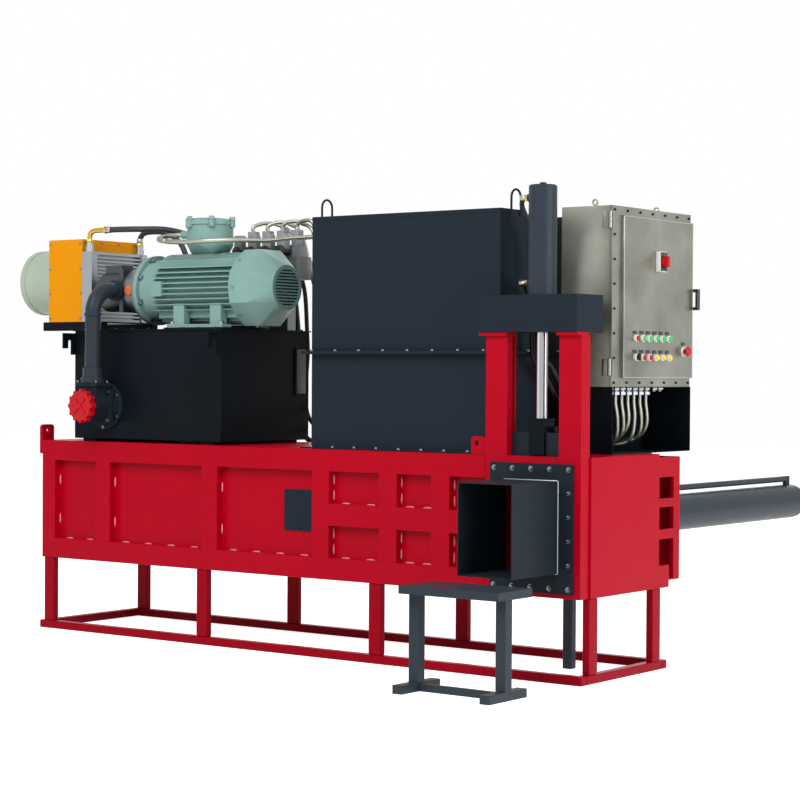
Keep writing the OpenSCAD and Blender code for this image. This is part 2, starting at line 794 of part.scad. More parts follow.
// Welded side walls with recessed panels
function bay_x1(i) = i == 0 ? left_post_x0 : bay_x1(i - 1) - bay_w[i - 1] - rib_w;
module panel_pockets(y) {
  mid_z0 = ch_zc - mid_bar_h / 2;
  mid_z1 = ch_zc + mid_bar_h / 2;
  for (i = [0:len(bay_w) - 1]) {
    x1 = bay_x1(i);
    x = [x1 - bay_w[i], x1 + (i == 0 ? cut : 0)];
    if (i < split_bays) {
      box(x, y, [floor_z, mid_z0]);
      box(x, y, [mid_z1, ceil_z]);
    } else {
      box(x, y, [floor_z, ceil_z]);
    }
  }
}
module front_wall() color(press_red) place() difference() {
  box([body_x0, left_post_x0 - weld_gap], [0, wall_t], [body_z0, body_z1]);
  panel_pockets([-cut, rib_d]);
}
module rear_wall() color(press_red) place() difference() {
  box([body_x0, -rear_inset], [ch_y1, body_w], [body_z0, body_z1]);
  difference() {
    panel_pockets([body_w - rib_d, body_w + cut]);
    box([left_post_x0 - cut, 0], [0, body_w + 2 * cut], [body_z0, body_z1]);
  }
  box([gate_x0, gate_x1], [ch_y1 - cut, body_w + cut], [floor_z, ceil_z]);
}
module floor_plate() color(press_red) place() {
  x = [body_x0 + end_t, gate_x1];
  box(x, [ch_y0, ch_y1], [floor_z - floor_t, floor_z]);
  for (side = [-1, 1]) {
    y = ch_yc + side * 79;
    box(x, [y - stringer_w / 2, y + stringer_w / 2], [body_z0, floor_z - floor_t]);
  }
}
module top_deck() color(press_red) place() {
  box([body_x0, hop_x0], [ch_y0, ch_y1], [body_z1 - deck_t, body_z1]);
  roof_x = [hop_x1, gate_x1];
  box(roof_x, [ch_y0, ch_y1], [ceil_z, ceil_z + floor_t]);
  box(roof_x, [ch_y0, ch_y1], [body_z1 - deck_t, body_z1]);
  for (y = [ch_y0, ch_yc - stringer_w / 2, ch_y1 - stringer_w])
    box(roof_x, [y, y + stringer_w], [ceil_z, body_z1]);
  blade_t = 18;
  blade_h = 75;
  box([hop_x1 - blade_t, hop_x1 - weld_gap], [ch_y0 + 4, ch_y1 - 4], [ceil_z, ceil_z + blade_h]);
}
module rounded_plate(w, h, r, t) {
  linear_extrude(t) hull() {
    square([w, h - r]);
    for (x = [r, w - r]) translate([x, h - r]) circle(r = r, $fn = 32);
  }
}
module body_ends() color(press_red) place() {
  box([body_x0, body_x0 + end_t], [ch_y0, ch_y1], [body_z0, body_z1 - deck_t]);
  lug_h = lug_rise + 80;
  difference() {
    translate([body_x0 - lug_t, 0, body_z1 + lug_rise - lug_h]) rotate([90, 0, 90])
      rounded_plate(lug_w, lug_h, 20, lug_t - weld_gap);
    rod_x(lug_hole, [body_x0 - lug_t - cut, body_x0 + cut], lug_w / 2, body_z1 + lug_rise - 34);
  }
  rib_t = 20;
  panel_y1 = ch_y0 + panel_w;
  box([gate_x1, gate_x1 + press_wall_t], [ch_y0, ch_y1], [body_z0, body_z1]);
  box([-panel_t, 0], [ch_y0, panel_y1], [body_z0, body_z1]);
  for (z = [floor_z - rib_t, ch_zc - rib_t / 2, ceil_z, body_z1 - rib_t])
    box([gate_x1, 0], [ch_y0, panel_y1], [z, z + rib_t]);
  box([-panel_t, 0], [panel_y1, body_w + 5], [body_z0, floor_z]);
}

// Portal with gate grooves
module post(x, groove_x) {
  difference() {
    box(x, [0, wall_t], [body_z0, post_top]);
    box(groove_x, [groove_y0, groove_y0 + groove_w], [floor_z, post_top + cut]);
  }
}
module post_cap(x) {
  box(x, [-beam_front, wall_t], [post_top, beam_z0]);
}
module gate_portal() color(press_red) place() {
  post([left_post_x0, gate_x0], [gate_x0 - groove_d, gate_x0 + cut]);
  post([gate_x1, right_post_x1], [gate_x1 - cut, gate_x1 + groove_d]);
  post_cap([beam_x0 - 8, gate_x0 + 5]);
  post_cap([gate_x1 - 5, beam_x1 + 8]);
  sill_x = [gate_x0 + weld_gap, gate_x1 - weld_gap];
  box(sill_x, [0, gate_sill_d], [ceil_z, body_z1]);
  box(sill_x, [0, wall_t], [body_z0, floor_z]);
  lug_y = 10;
  difference() {
    translate([left_post_x0 - weld_gap - lug_w, lug_y + lug_t, body_z1]) rotate([90, 0, 0])
      rounded_plate(lug_w, lug_rise, 20, lug_t);
    rod_y(lug_hole, left_post_x0 - lug_w + 35, [lug_y - cut, lug_y + lug_t + cut], body_z1 + lug_rise - 34);
  }
}
module portal_beam() color(dark_grey) place() {
  rod_hole = gate_rod_d + 8;
  box_x0 = left_post_x0 + 35;
  y0 = -beam_front;
  y1 = y0 + beam_d;
  difference() {
    union() {
      box([beam_x0, beam_x1], [y0, y0 + beam_plate_t], [beam_z0, beam_z1]);
      box([box_x0, beam_x1], [y0, y1], [beam_z0, beam_z1]);
      box([beam_x0, beam_x1], [y0 - beam_lip_d, y0 + beam_plate_t], [beam_z0, beam_z0 + beam_lip_h]);
    }
    box([box_x0 + beam_t, beam_x1 - beam_t], [y0 + beam_plate_t, y1 + cut],
      [beam_z0 + beam_lip_h, beam_z1 - beam_t]);
    rod_z(rod_hole, gate_xc, gate_axis_y, [beam_z0 - cut, beam_z1 + cut]);
  }
}
module centre_prop() color(dark_grey) place() {
  x = gate_xc - 94;
  y = ch_yc + 79;
  half = 23;
  box([x - half - 4, x + half + 5], [y - half, y + half], [0, body_z0]);
}

module inspection_cover() color(dark_grey) place() difference() {
  x1 = bay_x1(3) - 4;
  box([x1 - cover_w, x1], [rib_d - cover_t, rib_d], [ch_zc - 98, ch_zc + 122]);
  for (z = [ch_zc - 84, ch_zc + 108])
    rod_y(9, x1 - cover_w / 2, [rib_d - cover_t - cut, rib_d + cut], z);
}

// Bag chute and bench
module chute() color(chute_grey) place() {
  x = [gate_xc - chute_w / 2, gate_xc + chute_w / 2];
  z = [chute_z0, chute_z1];
  difference() {
    union() {
      box([x[0] - chute_flange_w, x[1] + chute_flange_w], [-chute_flange_t, 0],
        [z[0] - chute_flange_low, z[1] + chute_flange_high]);
      box(x, [chute_y0, 0], z);
    }
    box([x[0] + chute_t, x[1] - chute_t], [chute_y0 - cut, cut], [z[0] + chute_t, z[1] - chute_t]);
  }
}
module bag_bench() color(dark_grey) place() {
  foot_y1 = bench_y0 + bench_foot_len;
  yc = (bench_y0 + foot_y1) / 2;
  half = bench_tube / 2;
  top_z0 = bench_h - bench_top_t;
  top_y = [yc + 40 - bench_d / 2, yc + 40 + bench_d / 2];
  lip = 4;
  difference() {
    box([bench_xc - bench_len / 2, bench_xc + bench_len / 2], top_y, [top_z0, bench_h]);
    box([bench_xc - bench_len / 2 + lip, bench_xc + bench_len / 2 - lip],
      [top_y[0] + lip, top_y[1] - lip], [top_z0 - cut, bench_h - lip]);
  }
  for (side = [-1, 1]) {
    x = bench_xc + side * bench_tube_x;
    box([x - half, x + half], [bench_y0, foot_y1], [0, bench_foot_h]);
    box([x - half, x + half], [yc - half, yc + half], [bench_foot_h + weld_gap, bench_h - lip - weld_gap]);
  }
  inner = bench_tube_x - half - weld_gap;
  box([bench_xc - inner, bench_xc + inner], [yc - half / 2, yc + half / 2], [weld_gap, bench_foot_h - 6]);
}

// Feed hopper
module hopper_flange(z, front) {
  difference() {
    union() {
      box([hop_x0 - hop_flange_w, hop_x1 + hop_flange_w], [hop_y0, hop_y1 + hop_flange_w], z);
      box([hop_x0 - hop_flange_w, front], [hop_y0 - hop_flange_w, hop_y0 + cut], z);
    }
    box([hop_x0 + hopper_t, hop_x1 - hopper_t], [hop_y0 + hopper_t, hop_y1 - hopper_t],
      [z[0] - cut, z[1] + cut]);
  }
}
module hopper_walls(z) {
  difference() {
    box([hop_x0, hop_x1], [hop_y0, hop_y1], z);
    box([hop_x0 + hopper_t, hop_x1 - hopper_t], [hop_y0 + hopper_t, hop_y1 - hopper_t],
      [z[0] - cut, z[1] + cut]);
  }
}
module lower_hopper() color(dark_grey) place() {
  lug_side = left_post_x0 - lug_w - 6;
  hopper_walls([hop_z0, hop_zm]);
  hopper_flange([hop_z0, hop_z0 + hop_flange_t], lug_side);
  hopper_flange([hop_zm - hop_flange_t, hop_zm], left_post_x0 - 6);
}
module lifting_loop(x) {
  yc = hop_y0 + 130;
  span = loop_w - loop_bar;
  leg_h = loop_h - span / 2;
  for (side = [-1, 1])
    rod_z(loop_bar, x, yc + side * span / 2, [hop_z1 - 30, hop_z1 + leg_h]);
  translate([x, yc, hop_z1 + leg_h]) rotate([90, 0, 90])
    rotate_extrude(angle = 180) translate([span / 2, 0]) circle(d = loop_bar, $fn = 24);
}
module upper_hopper() color(dark_grey) place() {
  difference() {
    hopper_walls([hop_zm, hop_z1]);
    box([hop_x1 - hopper_t - cut, hop_x1 + cut], [hop_step_y, hop_y1 + cut],
      [hop_z1 - hop_step, hop_z1 + cut]);
  }
  hopper_flange([hop_zm, hop_zm + hop_flange_t], left_post_x0 - 6);
  box([hop_x0, hop_x1], [hop_y0 - 2, hop_y0], [hop_z1 - hop_rim, hop_z1]);
  lifting_loop(hop_x0 - loop_bar / 2 + 1);
  lifting_loop(hop_x1 + loop_bar / 2 - 1);
}

// Oil tank
module hook(x) {
  z1 = tank_z1 - 12;
  slot_w = 30;
  slot_top = z1 - 38;
  slot_y = -8;
  difference() {
    box([x, x + hook_t], [tank_y0 - hook_len, tank_y0], [z1 - hook_h, z1]);
    box([x - cut, x + hook_t + cut], [slot_y, slot_y + slot_w], [z1 - hook_h - cut, slot_top - slot_w / 2]);
    rod_x(slot_w, [x - cut, x + hook_t + cut], slot_y + slot_w / 2, slot_top - slot_w / 2);
    box([x - cut, x + hook_t + cut], [tank_y0 - hook_len - cut, slot_y + cut],
      [z1 - hook_h - cut, z1 - hook_h + 36]);
  }
}
module oil_tank() color(black) place() {
  difference() {
    box([tank_x0, tank_x1], [tank_y0, tank_y1], [tank_z0, tank_z1]);
    box([tank_x0 + tank_t, tank_x1 - tank_t], [tank_y0 + tank_t, tank_y1 - tank_t],
      [tank_z0 + tank_t, tank_z1 + cut]);
  }
  for (x = [tank_x0 + 60, tank_x1 - 160])
    box([x, x + 100], [tank_y0 + 10, tank_y1 - 30], [body_z1, tank_z0]);
  hook(tank_x0);
  hook(tank_x1 - hook_t);
  box([tank_x1, tank_x1 + 10], [tank_y1 - 130, tank_y1 - 30], [tank_z0 + 257, tank_z0 + 530]);
}
module tank_lid() color(black) place() {
  box([tank_x0 - lid_over, tank_x1 + lid_over], [tank_y0 - lid_over, tank_y1 + lid_over], [tank_z1, lid_z1]);
  for (side = [-1, 1]) {
    y = motor_y + side * (foot_y - foot_w / 2);
    box([foot_x0 - 20, foot_x0 + foot_len + 20], [y - foot_w / 2, y + foot_w / 2],
      [lid_z1, lid_z1 + foot_bar_h]);
  }
  channel_w = 44;
  plate_t = 8;
  platform_x = [shroud_x0 - 47, tank_x0 + 60];
  for (y = [cooler_y0, cooler_y1 - channel_w])
    box(platform_x, [y, y + channel_w], [lid_z1, cooler_z0]);
  box(platform_x, [cooler_y0, cooler_y1], [cooler_z0 - plate_t, cooler_z0]);
}

// Electric motor
module motor_frame() color(motor_green) place() difference() {
  union() {
    rod_x(motor_core_d, [frame_x0, cover_x0], motor_y, motor_z);
    intersection() {
      rod_x(motor_fin_d, [frame_x0 + 20, cover_x0 - 12], motor_y, motor_z);
      union() for (k = [-4:4]) {
        off = k * fin_pitch;
        box([frame_x0, cover_x0], [motor_y - motor_fin_d, motor_y + motor_fin_d],
          [motor_z + off - fin_t / 2, motor_z + off + fin_t / 2]);
        box([frame_x0, cover_x0], [motor_y + off - fin_t / 2, motor_y + off + fin_t / 2],
          [motor_z - motor_fin_d, motor_z + motor_fin_d]);
      }
    }
    rod_x(fan_cover_w - 4, [cover_x0 - 12, cover_x0], motor_y, motor_z);
    cone_x(motor_flange_d - 50, motor_core_d - 20, [frame_x0 - shield_len, frame_x0], motor_y, motor_z);
    rod_x(motor_flange_d, [motor_x0, frame_x0 - shield_len], motor_y, motor_z);
    box([terminal_x - 85, terminal_x + 85], [motor_y - 75, motor_y + 75], [motor_z, pad_z1]);
    box([frame_x0 + 30, frame_x0 + 110], [motor_y - 206, motor_y], [motor_z - 42, motor_z + 42]);
    for (side = [-1, 1]) {
      y = motor_y + side * (foot_y - foot_w / 2);
      box([foot_x0, foot_x0 + foot_len], [y - foot_w / 2, y + foot_w / 2],
        [lid_z1 + foot_bar_h, lid_z1 + foot_bar_h + foot_t]);
      for (x = [foot_x0 + 30, foot_x0 + foot_len - 110])
        box([x, x + 80], [y - side * 8 - 24, y - side * 8 + 24], [lid_z1 + foot_bar_h, motor_z - 84]);
    }
  }
  rod_x(motor_shaft_d + 2 * run_clear, [motor_x0 - cut, cover_x0 + cut], motor_y, motor_z);
  box([terminal_x - 110, terminal_x + 110], [motor_y - 105, motor_y + 105],
    [pad_z1, motor_z + motor_fin_d / 2 + cut]);
}
module fan_cover() color(motor_green) place() {
  bend_x = cover_x0 + 116;
  wall = 6;
  end_wall = 10;
  grille_d = 206;
  slot_h = 9;
  slot_pitch = 17;
  slot_n = 6;
  difference() {
    translate([0, motor_y, motor_z]) rotate([0, 90, 0]) hull() {
      translate([0, 0, cover_x0]) rotate(22.5)
        cylinder(d = fan_cover_w / cos(22.5), h = bend_x - cover_x0, $fn = 8);
      translate([0, 0, bend_x]) cylinder(d = fan_end_d, h = motor_x1 - bend_x, $fn = 32);
    }
    rod_x(fan_cover_w - 2 * wall, [cover_x0 - cut, bend_x - 8], motor_y, motor_z);
    cone_x(fan_cover_w - 2 * wall, fan_end_d - 26, [bend_x - 8, motor_x1 - end_wall], motor_y, motor_z);
    intersection() {
      rod_x(grille_d, [motor_x1 - end_wall - cut, motor_x1 + cut], motor_y, motor_z);
      union() for (k = [-slot_n + 0.5:slot_n - 0.5])
        box([motor_x1 - 2 * end_wall, motor_x1 + cut], [motor_y - grille_d, motor_y + grille_d],
          [motor_z + k * slot_pitch - slot_h / 2, motor_z + k * slot_pitch + slot_h / 2]);
    }
  }
}
module terminal_box() color(motor_green) place() {
  z1 = pad_z1 + neck_h;
  z2 = z1 + drum_h;
  lid_d = terminal_d + 14;
  ear_n = 6;
  hull() {
    box([terminal_x - 78, terminal_x + 78], [motor_y - 68, motor_y + 68], [pad_z1, pad_z1 + 8]);
    rod_z(terminal_d, terminal_x, motor_y, [z1 - 8, z1]);
  }
  rod_z(terminal_d, terminal_x, motor_y, [z1, z2]);
  rod_z(lid_d, terminal_x, motor_y, [z2, z2 + lid_drum_h - 10]);
  translate([terminal_x, motor_y, z2 + lid_drum_h - 10]) cylinder(d1 = lid_d - 24, d2 = lid_d - 50, h = 10);
  for (k = [0:ear_n - 1]) {
    a = 360 * k / ear_n + 15;
    rod_z(34, terminal_x + lid_d / 2 * cos(a), motor_y + lid_d / 2 * sin(a),
      [z2 - 14, z2 + lid_drum_h - 8]);
  }
  rod_x(44, [terminal_x - terminal_d / 2 - 42, terminal_x - 100], cable_y, cable_z);
}
module motor_rotor() color(chrome) place() {
  fan_x0 = cover_x0 + 26;
  fan_len = 70;
  fan_d = 330;
  blade_n = 8;
  coupling_d = 130;
  rod_x(motor_shaft_d, [bell_x0 + shaft_end - 8, fan_x0 + fan_len + 8], motor_y, motor_z);
  rod_x(coupling_d, [bell_x0 + shaft_end, motor_x0 - 12], motor_y, motor_z);
  rod_x(110, [fan_x0, fan_x0 + fan_len], motor_y, motor_z);
  for (k = [0:blade_n - 1])
    translate([fan_x0 + 4, motor_y, motor_z]) rotate([360 * k / blade_n, 0, 0])
      translate([0, -4, 44]) cube([fan_len - 8, 8, fan_d / 2 - 44]);
}
module bell_housing() color(core_grey) place() difference() {
  union() {
    rod_x(bell_d, [bell_x0, motor_x0], motor_y, motor_z);
    cone_x(bell_d, motor_flange_d - 30, [motor_x0 - 44, motor_x0 - 18], motor_y, motor_z);
    rod_x(motor_flange_d - 6, [motor_x0 - 18, motor_x0], motor_y, motor_z);
    rod_y(62, bell_x0 + 62, [motor_y - bell_d / 2 - 6, motor_y], motor_z);
  }
  rod_x(bell_d - 76, [bell_x0 - cut, motor_x0 + cut], motor_y, motor_z);
}
module hydraulic_pump() color(chute_grey) place() {
  r = pump_d / 2;
  square_w = pump_d + 14;
  box([bell_x0 - 30, bell_x0], [motor_y - square_w / 2, motor_y + square_w / 2],
    [motor_z - square_w / 2, motor_z + square_w / 2]);
  rod_x(pump_d, [pump_x0 + 64, bell_x0 - 30], motor_y, motor_z);
  cone_x(pump_d - 70, pump_d, [pump_x0 + 14, pump_x0 + 64], motor_y, motor_z);
  rod_x(pump_d - 90, [pump_x0, pump_x0 + 14], motor_y, motor_z);
  box([pump_x0 + 70, pump_x0 + 200], [motor_y - 48, motor_y + 48], [motor_z, motor_z + r + 34]);
  box([filter_ax - 52, filter_ax + 52 - 12], [pump_port_y, motor_y], [motor_z - 62, motor_z + 62]);
  box([pump_x0 + 96, pump_x0 + 176], [motor_y, motor_y + r + 22], [motor_z - 44, motor_z + 44]);
}
module suction_filter() color(dark_grey) place() difference() {
  y1 = tank_y0;
  collar = filter_d + 12;
  port_w = 170;
  port_l = 112;
  plate_t = 22;
  union() {
    rod_y(270, filter_ax, [y1 - filter_flange_t, y1], filter_az);
    rod_y(filter_d + 40, filter_ax, [y1 - filter_flange_t - 16, y1 - filter_flange_t], filter_az);
    rod_y(filter_d, filter_ax, [filter_y0, y1 - filter_flange_t], filter_az);
    box([filter_ax - collar / 2, filter_ax + collar / 2], [y1 - 62, y1 - 38],
      [filter_az - collar / 2, filter_az + collar / 2]);
    box([filter_ax - port_w / 2 + 14, filter_ax + port_w / 2 - 14], [suction_y - 44, suction_y + 44],
      [filter_az, port_z1 - plate_t]);
    box([filter_ax - port_w / 2, filter_ax + port_w / 2], [suction_y - port_l / 2, suction_y + port_l / 2],
      [port_z1 - plate_t, port_z1]);
  }
  rod_y(40 + 2 * run_clear, filter_ax, [filter_y0 - cut, filter_y0 + 60], filter_az);
}
module suction_cap() color(signal_red) place() {
  y1 = filter_y0 - 1;
  cap_l = 42;
  lobe_n = 12;
  disc_d = 166;
  rod_y(40, filter_ax, [y1 - 4, filter_y0 + 50], filter_az);
  rod_y(disc_d, filter_ax, [y1 - cap_l, y1], filter_az);
  for (k = [0:lobe_n - 1]) {
    a = 360 * k / lobe_n;
    rod_y(26, filter_ax + disc_d / 2 * cos(a), [y1 - cap_l + 4, y1 - 4], filter_az + disc_d / 2 * sin(a));
  }
  for (a = [45, 135])
    translate([filter_ax, y1 - cap_l - 6, filter_az]) rotate([0, a, 0])
      translate([-62, 0, -6]) cube([124, 12, 12]);
}
module suction_pipe() color(dark_grey) place() {
  collar_z = port_z1 + 29;
  sleeve_z = collar_z + 55;
  bend_z = motor_z - suction_bend;
  rod_z(suction_d + 44, filter_ax, suction_y, [port_z1, collar_z]);
  rod_z(suction_d + 24, filter_ax, suction_y, [collar_z, sleeve_z]);
  rod_z(suction_d, filter_ax, suction_y, [sleeve_z, bend_z]);
  rod_z(suction_d + 10, filter_ax, suction_y, [bend_z - 16, bend_z]);
  translate([filter_ax, suction_y + suction_bend, bend_z]) rotate([90, 0, 90]) rotate([0, 0, 90])
    rotate_extrude(angle = 90) translate([suction_bend, 0]) circle(d = suction_d);
  rod_y(suction_d, filter_ax, [suction_y + suction_bend, pump_port_y], motor_z);
  rod_y(suction_d + 30, filter_ax - 6, [pump_port_y - 20, pump_port_y], motor_z);
}

// Oil cooler
module cooler_core() color(core_grey) place() {
  slot_h = 12;
  slat_pitch = (core_h - 24) / slat_n;
  slot_d = 30;
  difference() {
    box([core_x0 + 8, core_x1 - 8], [cooler_y0 + side_tank_w, cooler_y1 - side_tank_w],
      [cooler_z0, cooler_z0 + core_h]);
    for (k = [0:slat_n - 1]) {
      z = cooler_z0 + 12 + (k + 0.5) * slat_pitch;
      box([core_x1 - 8 - slot_d, core_x1], [cooler_y0 + side_tank_w + 6, cooler_y1 - side_tank_w - 6],
        [z - slot_h / 2, z + slot_h / 2]);
    }
  }
  for (y = [cooler_y0, cooler_y1 - side_tank_w]) {
    box([core_x0, core_x1], [y, y + side_tank_w], [cooler_z0, cooler_z0 + core_h]);
    rod_z(52, (core_x0 + core_x1) / 2, y + side_tank_w / 2,
      [cooler_z0 + core_h, cooler_z0 + core_h + 30]);
    rod_z(44, (core_x0 + core_x1) / 2, y + side_tank_w / 2,
      [cooler_z0 + core_h, cooler_z0 + core_h + 53]);
  }
}
module cooler_shroud() color(cooler_yellow) place() difference() {
  z1 = cooler_z0 + shroud_h;
  box([shroud_x0, core_x0], [cooler_y0, cooler_y1], [cooler_z0, z1]);
  box([shroud_x0 + shroud_t, core_x0 - shroud_t], [cooler_y0 + shroud_t, cooler_y1 - shroud_t],
    [cooler_z0 + shroud_t, z1 - shroud_t]);
  box([core_x0 - 2 * shroud_t, core_x0 + cut], [cooler_y0 + 30, cooler_y1 - 30],
    [cooler_z0 + 20, cooler_z0 + core_h - 20]);
  rod_x(cowl_d - 2 * cowl_t, [shroud_x0 - cut, shroud_x0 + 2 * shroud_t], cooler_yc, cooler_zc);
}
module cooler_cowl() color(duct_cream) place() {
  rim_w = 36;
  rim_t = 4;
  fan_motor_d = 150;
  strut_w = 16;
  guard_bar = 6;
  difference() {
    union() {
      rod_x(cowl_d, [cowl_x0, shroud_x0], cooler_yc, cooler_zc);
      rod_x(cowl_d + 2 * rim_t, [cowl_x0, cowl_x0 + rim_w], cooler_yc, cooler_zc);
    }
    rod_x(cowl_d - 2 * cowl_t, [cowl_x0 - cut, shroud_x0 + cut], cooler_yc, cooler_zc);
  }
  difference() {
    union() {
      rod_x(fan_motor_d, fan_motor_x, cooler_yc, cooler_zc);
      for (k = [0:2])
        translate([fan_motor_x[0] + 60, cooler_yc, cooler_zc]) rotate([120 * k, 0, 0])
          translate([0, -strut_w / 2, 0]) cube([strut_w * 2, strut_w, cowl_d / 2 - cowl_t + 1]);
    }
    rod_x(24 + 2 * run_clear, [fan_motor_x[1] - 60, fan_motor_x[1] + cut], cooler_yc, cooler_zc);
  }
  for (r = [50:34:cowl_d / 2])
    translate([cowl_x0 + guard_bar, cooler_yc, cooler_zc]) rotate([0, 90, 0])
      rotate_extrude() translate([r, 0]) circle(d = guard_bar, $fn = 16);
  for (a = [0, 60, 120])
    translate([cowl_x0 + guard_bar, cooler_yc, cooler_zc]) rotate([a, 0, 0])
      translate([0, -guard_bar / 2, -cowl_d / 2 + 2]) cube([guard_bar, guard_bar, cowl_d - 4]);
}
module cooler_fan() color(black) place() {
  hub_d = 110;
  tip_d = 350;
  blade_n = 6;
  blade_w = 90;
  rod_x(hub_d, [fan_hub_x, fan_hub_x + 44], cooler_yc, cooler_zc);
  rod_x(24, [fan_hub_x - 60, fan_hub_x + 10], cooler_yc, cooler_zc);
  for (k = [0:blade_n - 1])
    translate([fan_hub_x + 22, cooler_yc, cooler_zc]) rotate([360 * k / blade_n, 0, 0]) rotate([0, 0, 55])
      translate([-2.5, -blade_w / 2, hub_d / 2 - 20]) cube([5, blade_w, tip_d / 2 - hub_d / 2 + 6]);
}

// Valve manifold behind the motor
module valve_stack() color(core_grey) place() {
  coil_z = valve_z1 + slice_h / 2 + 3;
  box([valve_x0 + valve_end / 2, tank_x1 - 10], [valve_y0 + 30, valve_y1 - 30], [lid_z1, valve_z0]);
  box([valve_x0, valve_x1], [valve_y0, valve_y1], [valve_z0, valve_z1]);
  for (i = [0:valve_n - 1]) {
    x = plug_x(i);
    width = [x - plug_w / 2, x + plug_w / 2];
    box([x - 36, x + 36], [valve_y0 + 4, valve_y1 - 4], [valve_z1, valve_z1 + slice_h]);
    rod_y(coil_d, x, [valve_y0 + 4 - coil_len, valve_y0 + 4], coil_z);
    box(width, [valve_y0 - 6 - plug_w, valve_y0 - 6], [coil_z, coil_z + plug_h]);
    box(width, [plug_y - plug_w / 2, plug_y + plug_w / 2], [valve_z1 + slice_h, plug_z1]);
  }
}

// Press ram
module main_cylinder() color(chute_grey) place() difference() {
  union() {
    rod_x(main_barrel_d, [barrel_x0, barrel_x1], ch_yc, ch_zc);
    rod_x(main_barrel_d + 60, [barrel_x0, barrel_x0 + 40], ch_yc, ch_zc);
    rod_x(main_barrel_d + 24, [barrel_x1 - main_gland - 30, barrel_x1], ch_yc, ch_zc);
  }
  rod_x(main_bore, [barrel_x0 + 60, barrel_x1 - main_gland], ch_yc, ch_zc);
  rod_x(main_rod_d + 2 * run_clear, [barrel_x1 - main_gland - cut, barrel_x1 + cut], ch_yc, ch_zc);
}
module main_rod() color(chrome) place() {
  rod_x(main_rod_d, [main_piston_x, ram_x1 - ram_face_t], ch_yc, ch_zc);
  rod_x(main_bore - 2 * run_clear, [main_piston_x, main_piston_x + main_piston], ch_yc, ch_zc);
}
module main_ram() color(dark_grey) place() {
  y = [ch_y0 + ram_play, ch_y1 - ram_play];
  z = [floor_z + ram_play, ceil_z - ram_play];
  difference() {
    box([ram_x0, ram_x1], y, z);
    box([ram_x0 - cut, ram_x1 - ram_face_t], [y[0] + ram_wall, y[1] - ram_wall],
      [z[0] + ram_wall, z[1] - ram_wall]);
  }
}

// Lift gate
module gate_cylinder() color(dark_grey) place() {
  z0 = beam_z1;
  z1 = z0 + gate_barrel_h;
  difference() {
    union() {
      rod_z(gate_barrel_d, gate_xc, gate_axis_y, [z0, z1 - 82]);
      rod_z(gate_barrel_d - 2, gate_xc, gate_axis_y, [z1 - 82, z1 - 80]);
      rod_z(gate_barrel_d, gate_xc, gate_axis_y, [z1 - 80, z1 - 6]);
      translate([gate_xc, gate_axis_y, z1 - 6])
        cylinder(d1 = gate_barrel_d, d2 = gate_barrel_d - 12, h = 6);
      rod_z(34, gate_xc, gate_axis_y, [z1, z1 + 12]);
      for (z = gate_port_z)
        rod_x(40, [gate_port_x, gate_xc], gate_axis_y, z);
    }
    rod_z(gate_bore, gate_xc, gate_axis_y, [z0 + gate_gland_h, z1 - 25]);
    rod_z(gate_rod_d + 2 * run_clear, gate_xc, gate_axis_y, [z0 - cut, z0 + gate_gland_h + cut]);
  }
}
module gate_rod() color(chrome) place() {
  piston_z = beam_z1 + gate_gland_h + 5;
  rod_z(gate_rod_d, gate_xc, gate_axis_y, [clevis_z1 - gate_rod_seat, piston_z + gate_piston_h]);
  rod_z(gate_bore - 2 * run_clear, gate_xc, gate_axis_y, [piston_z, piston_z + gate_piston_h]);
}
module gate_clevis() color(black) place() {
  x = [gate_xc - clevis_w / 2, gate_xc + clevis_w / 2];
  y = [clevis_y0, clevis_y0 + clevis_d];
  difference() {
    union() {
      box(x, y, [clevis_z0, clevis_z1 - 12]);
      box([x[0] - 8, x[1] + 8], [y[0] - 2, y[1]], [clevis_z1 - 12, clevis_z1]);
      rod_x(30, [x[0] - 10, x[1] + 30], y[1] - 24, clevis_z1 - 54);
    }
    box([x[0] - cut, x[1] + cut], [gate_back, gate_back + gate_t], [clevis_z0 - cut, gate_z0 + gate_h]);
    rod_z(gate_rod_d, gate_xc, gate_axis_y, [clevis_z1 - gate_rod_seat, clevis_z1 + cut]);
  }
}
module gate_plate() color(chute_grey) place() {
  box([gate_xc - gate_w / 2, gate_xc + gate_w / 2], [gate_back, gate_back + gate_t],
    [gate_z0, gate_z0 + gate_h]);
}

// Bale ejector
module ejector_cylinder() color(dark_grey) place() {
  r = ej_barrel_d / 2;
  cap_y = ej_y1 - ej_cap;
  pipe_d = 34;
  difference() {
    union() {
      rod_y(ej_barrel_d, gate_xc, [ej_y0, cap_y], ch_zc);
      rod_y(ej_barrel_d + 50, gate_xc, [ej_y0, ej_y0 + 30], ch_zc);
      translate([gate_xc, cap_y, ch_zc]) rotate([-90, 0, 0]) rotate_extrude()
        polygon(concat([[0, 0], [r, 0]],
          [for (a = [0:15:90]) [r - ej_cap * 0.6 * (1 - cos(a)), ej_cap * sin(a)]], [[0, ej_cap]]));
    }
    rod_y(ej_bore, gate_xc, [ej_y0 + ej_gland, cap_y], ch_zc);
    rod_y(ej_rod_d + 2 * run_clear, gate_xc, [ej_y0 - cut, ej_y0 + ej_gland + cut], ch_zc);
  }
  rod_z(44, gate_xc, ej_boss_y, [ch_zc + r - 8, ej_boss_z]);
  for (y = [ej_pipe_y + 30, cap_y - 40])
    rod_z(40, gate_xc, y, [ch_zc + r - 8, ej_pipe_z + pipe_d / 2]);
  rod_y(pipe_d, gate_xc, [ej_pipe_y, cap_y - 30], ej_pipe_z);
}
module ejector_rod() color(chrome) place() {
  piston_y = ej_y1 - ej_cap - 90;
  rod_y(ej_rod_d, gate_xc, [ej_plate_y + ej_plate_t, piston_y + ej_piston], ch_zc);
  rod_y(ej_bore - 2 * run_clear, gate_xc, [piston_y, piston_y + ej_piston], ch_zc);
}
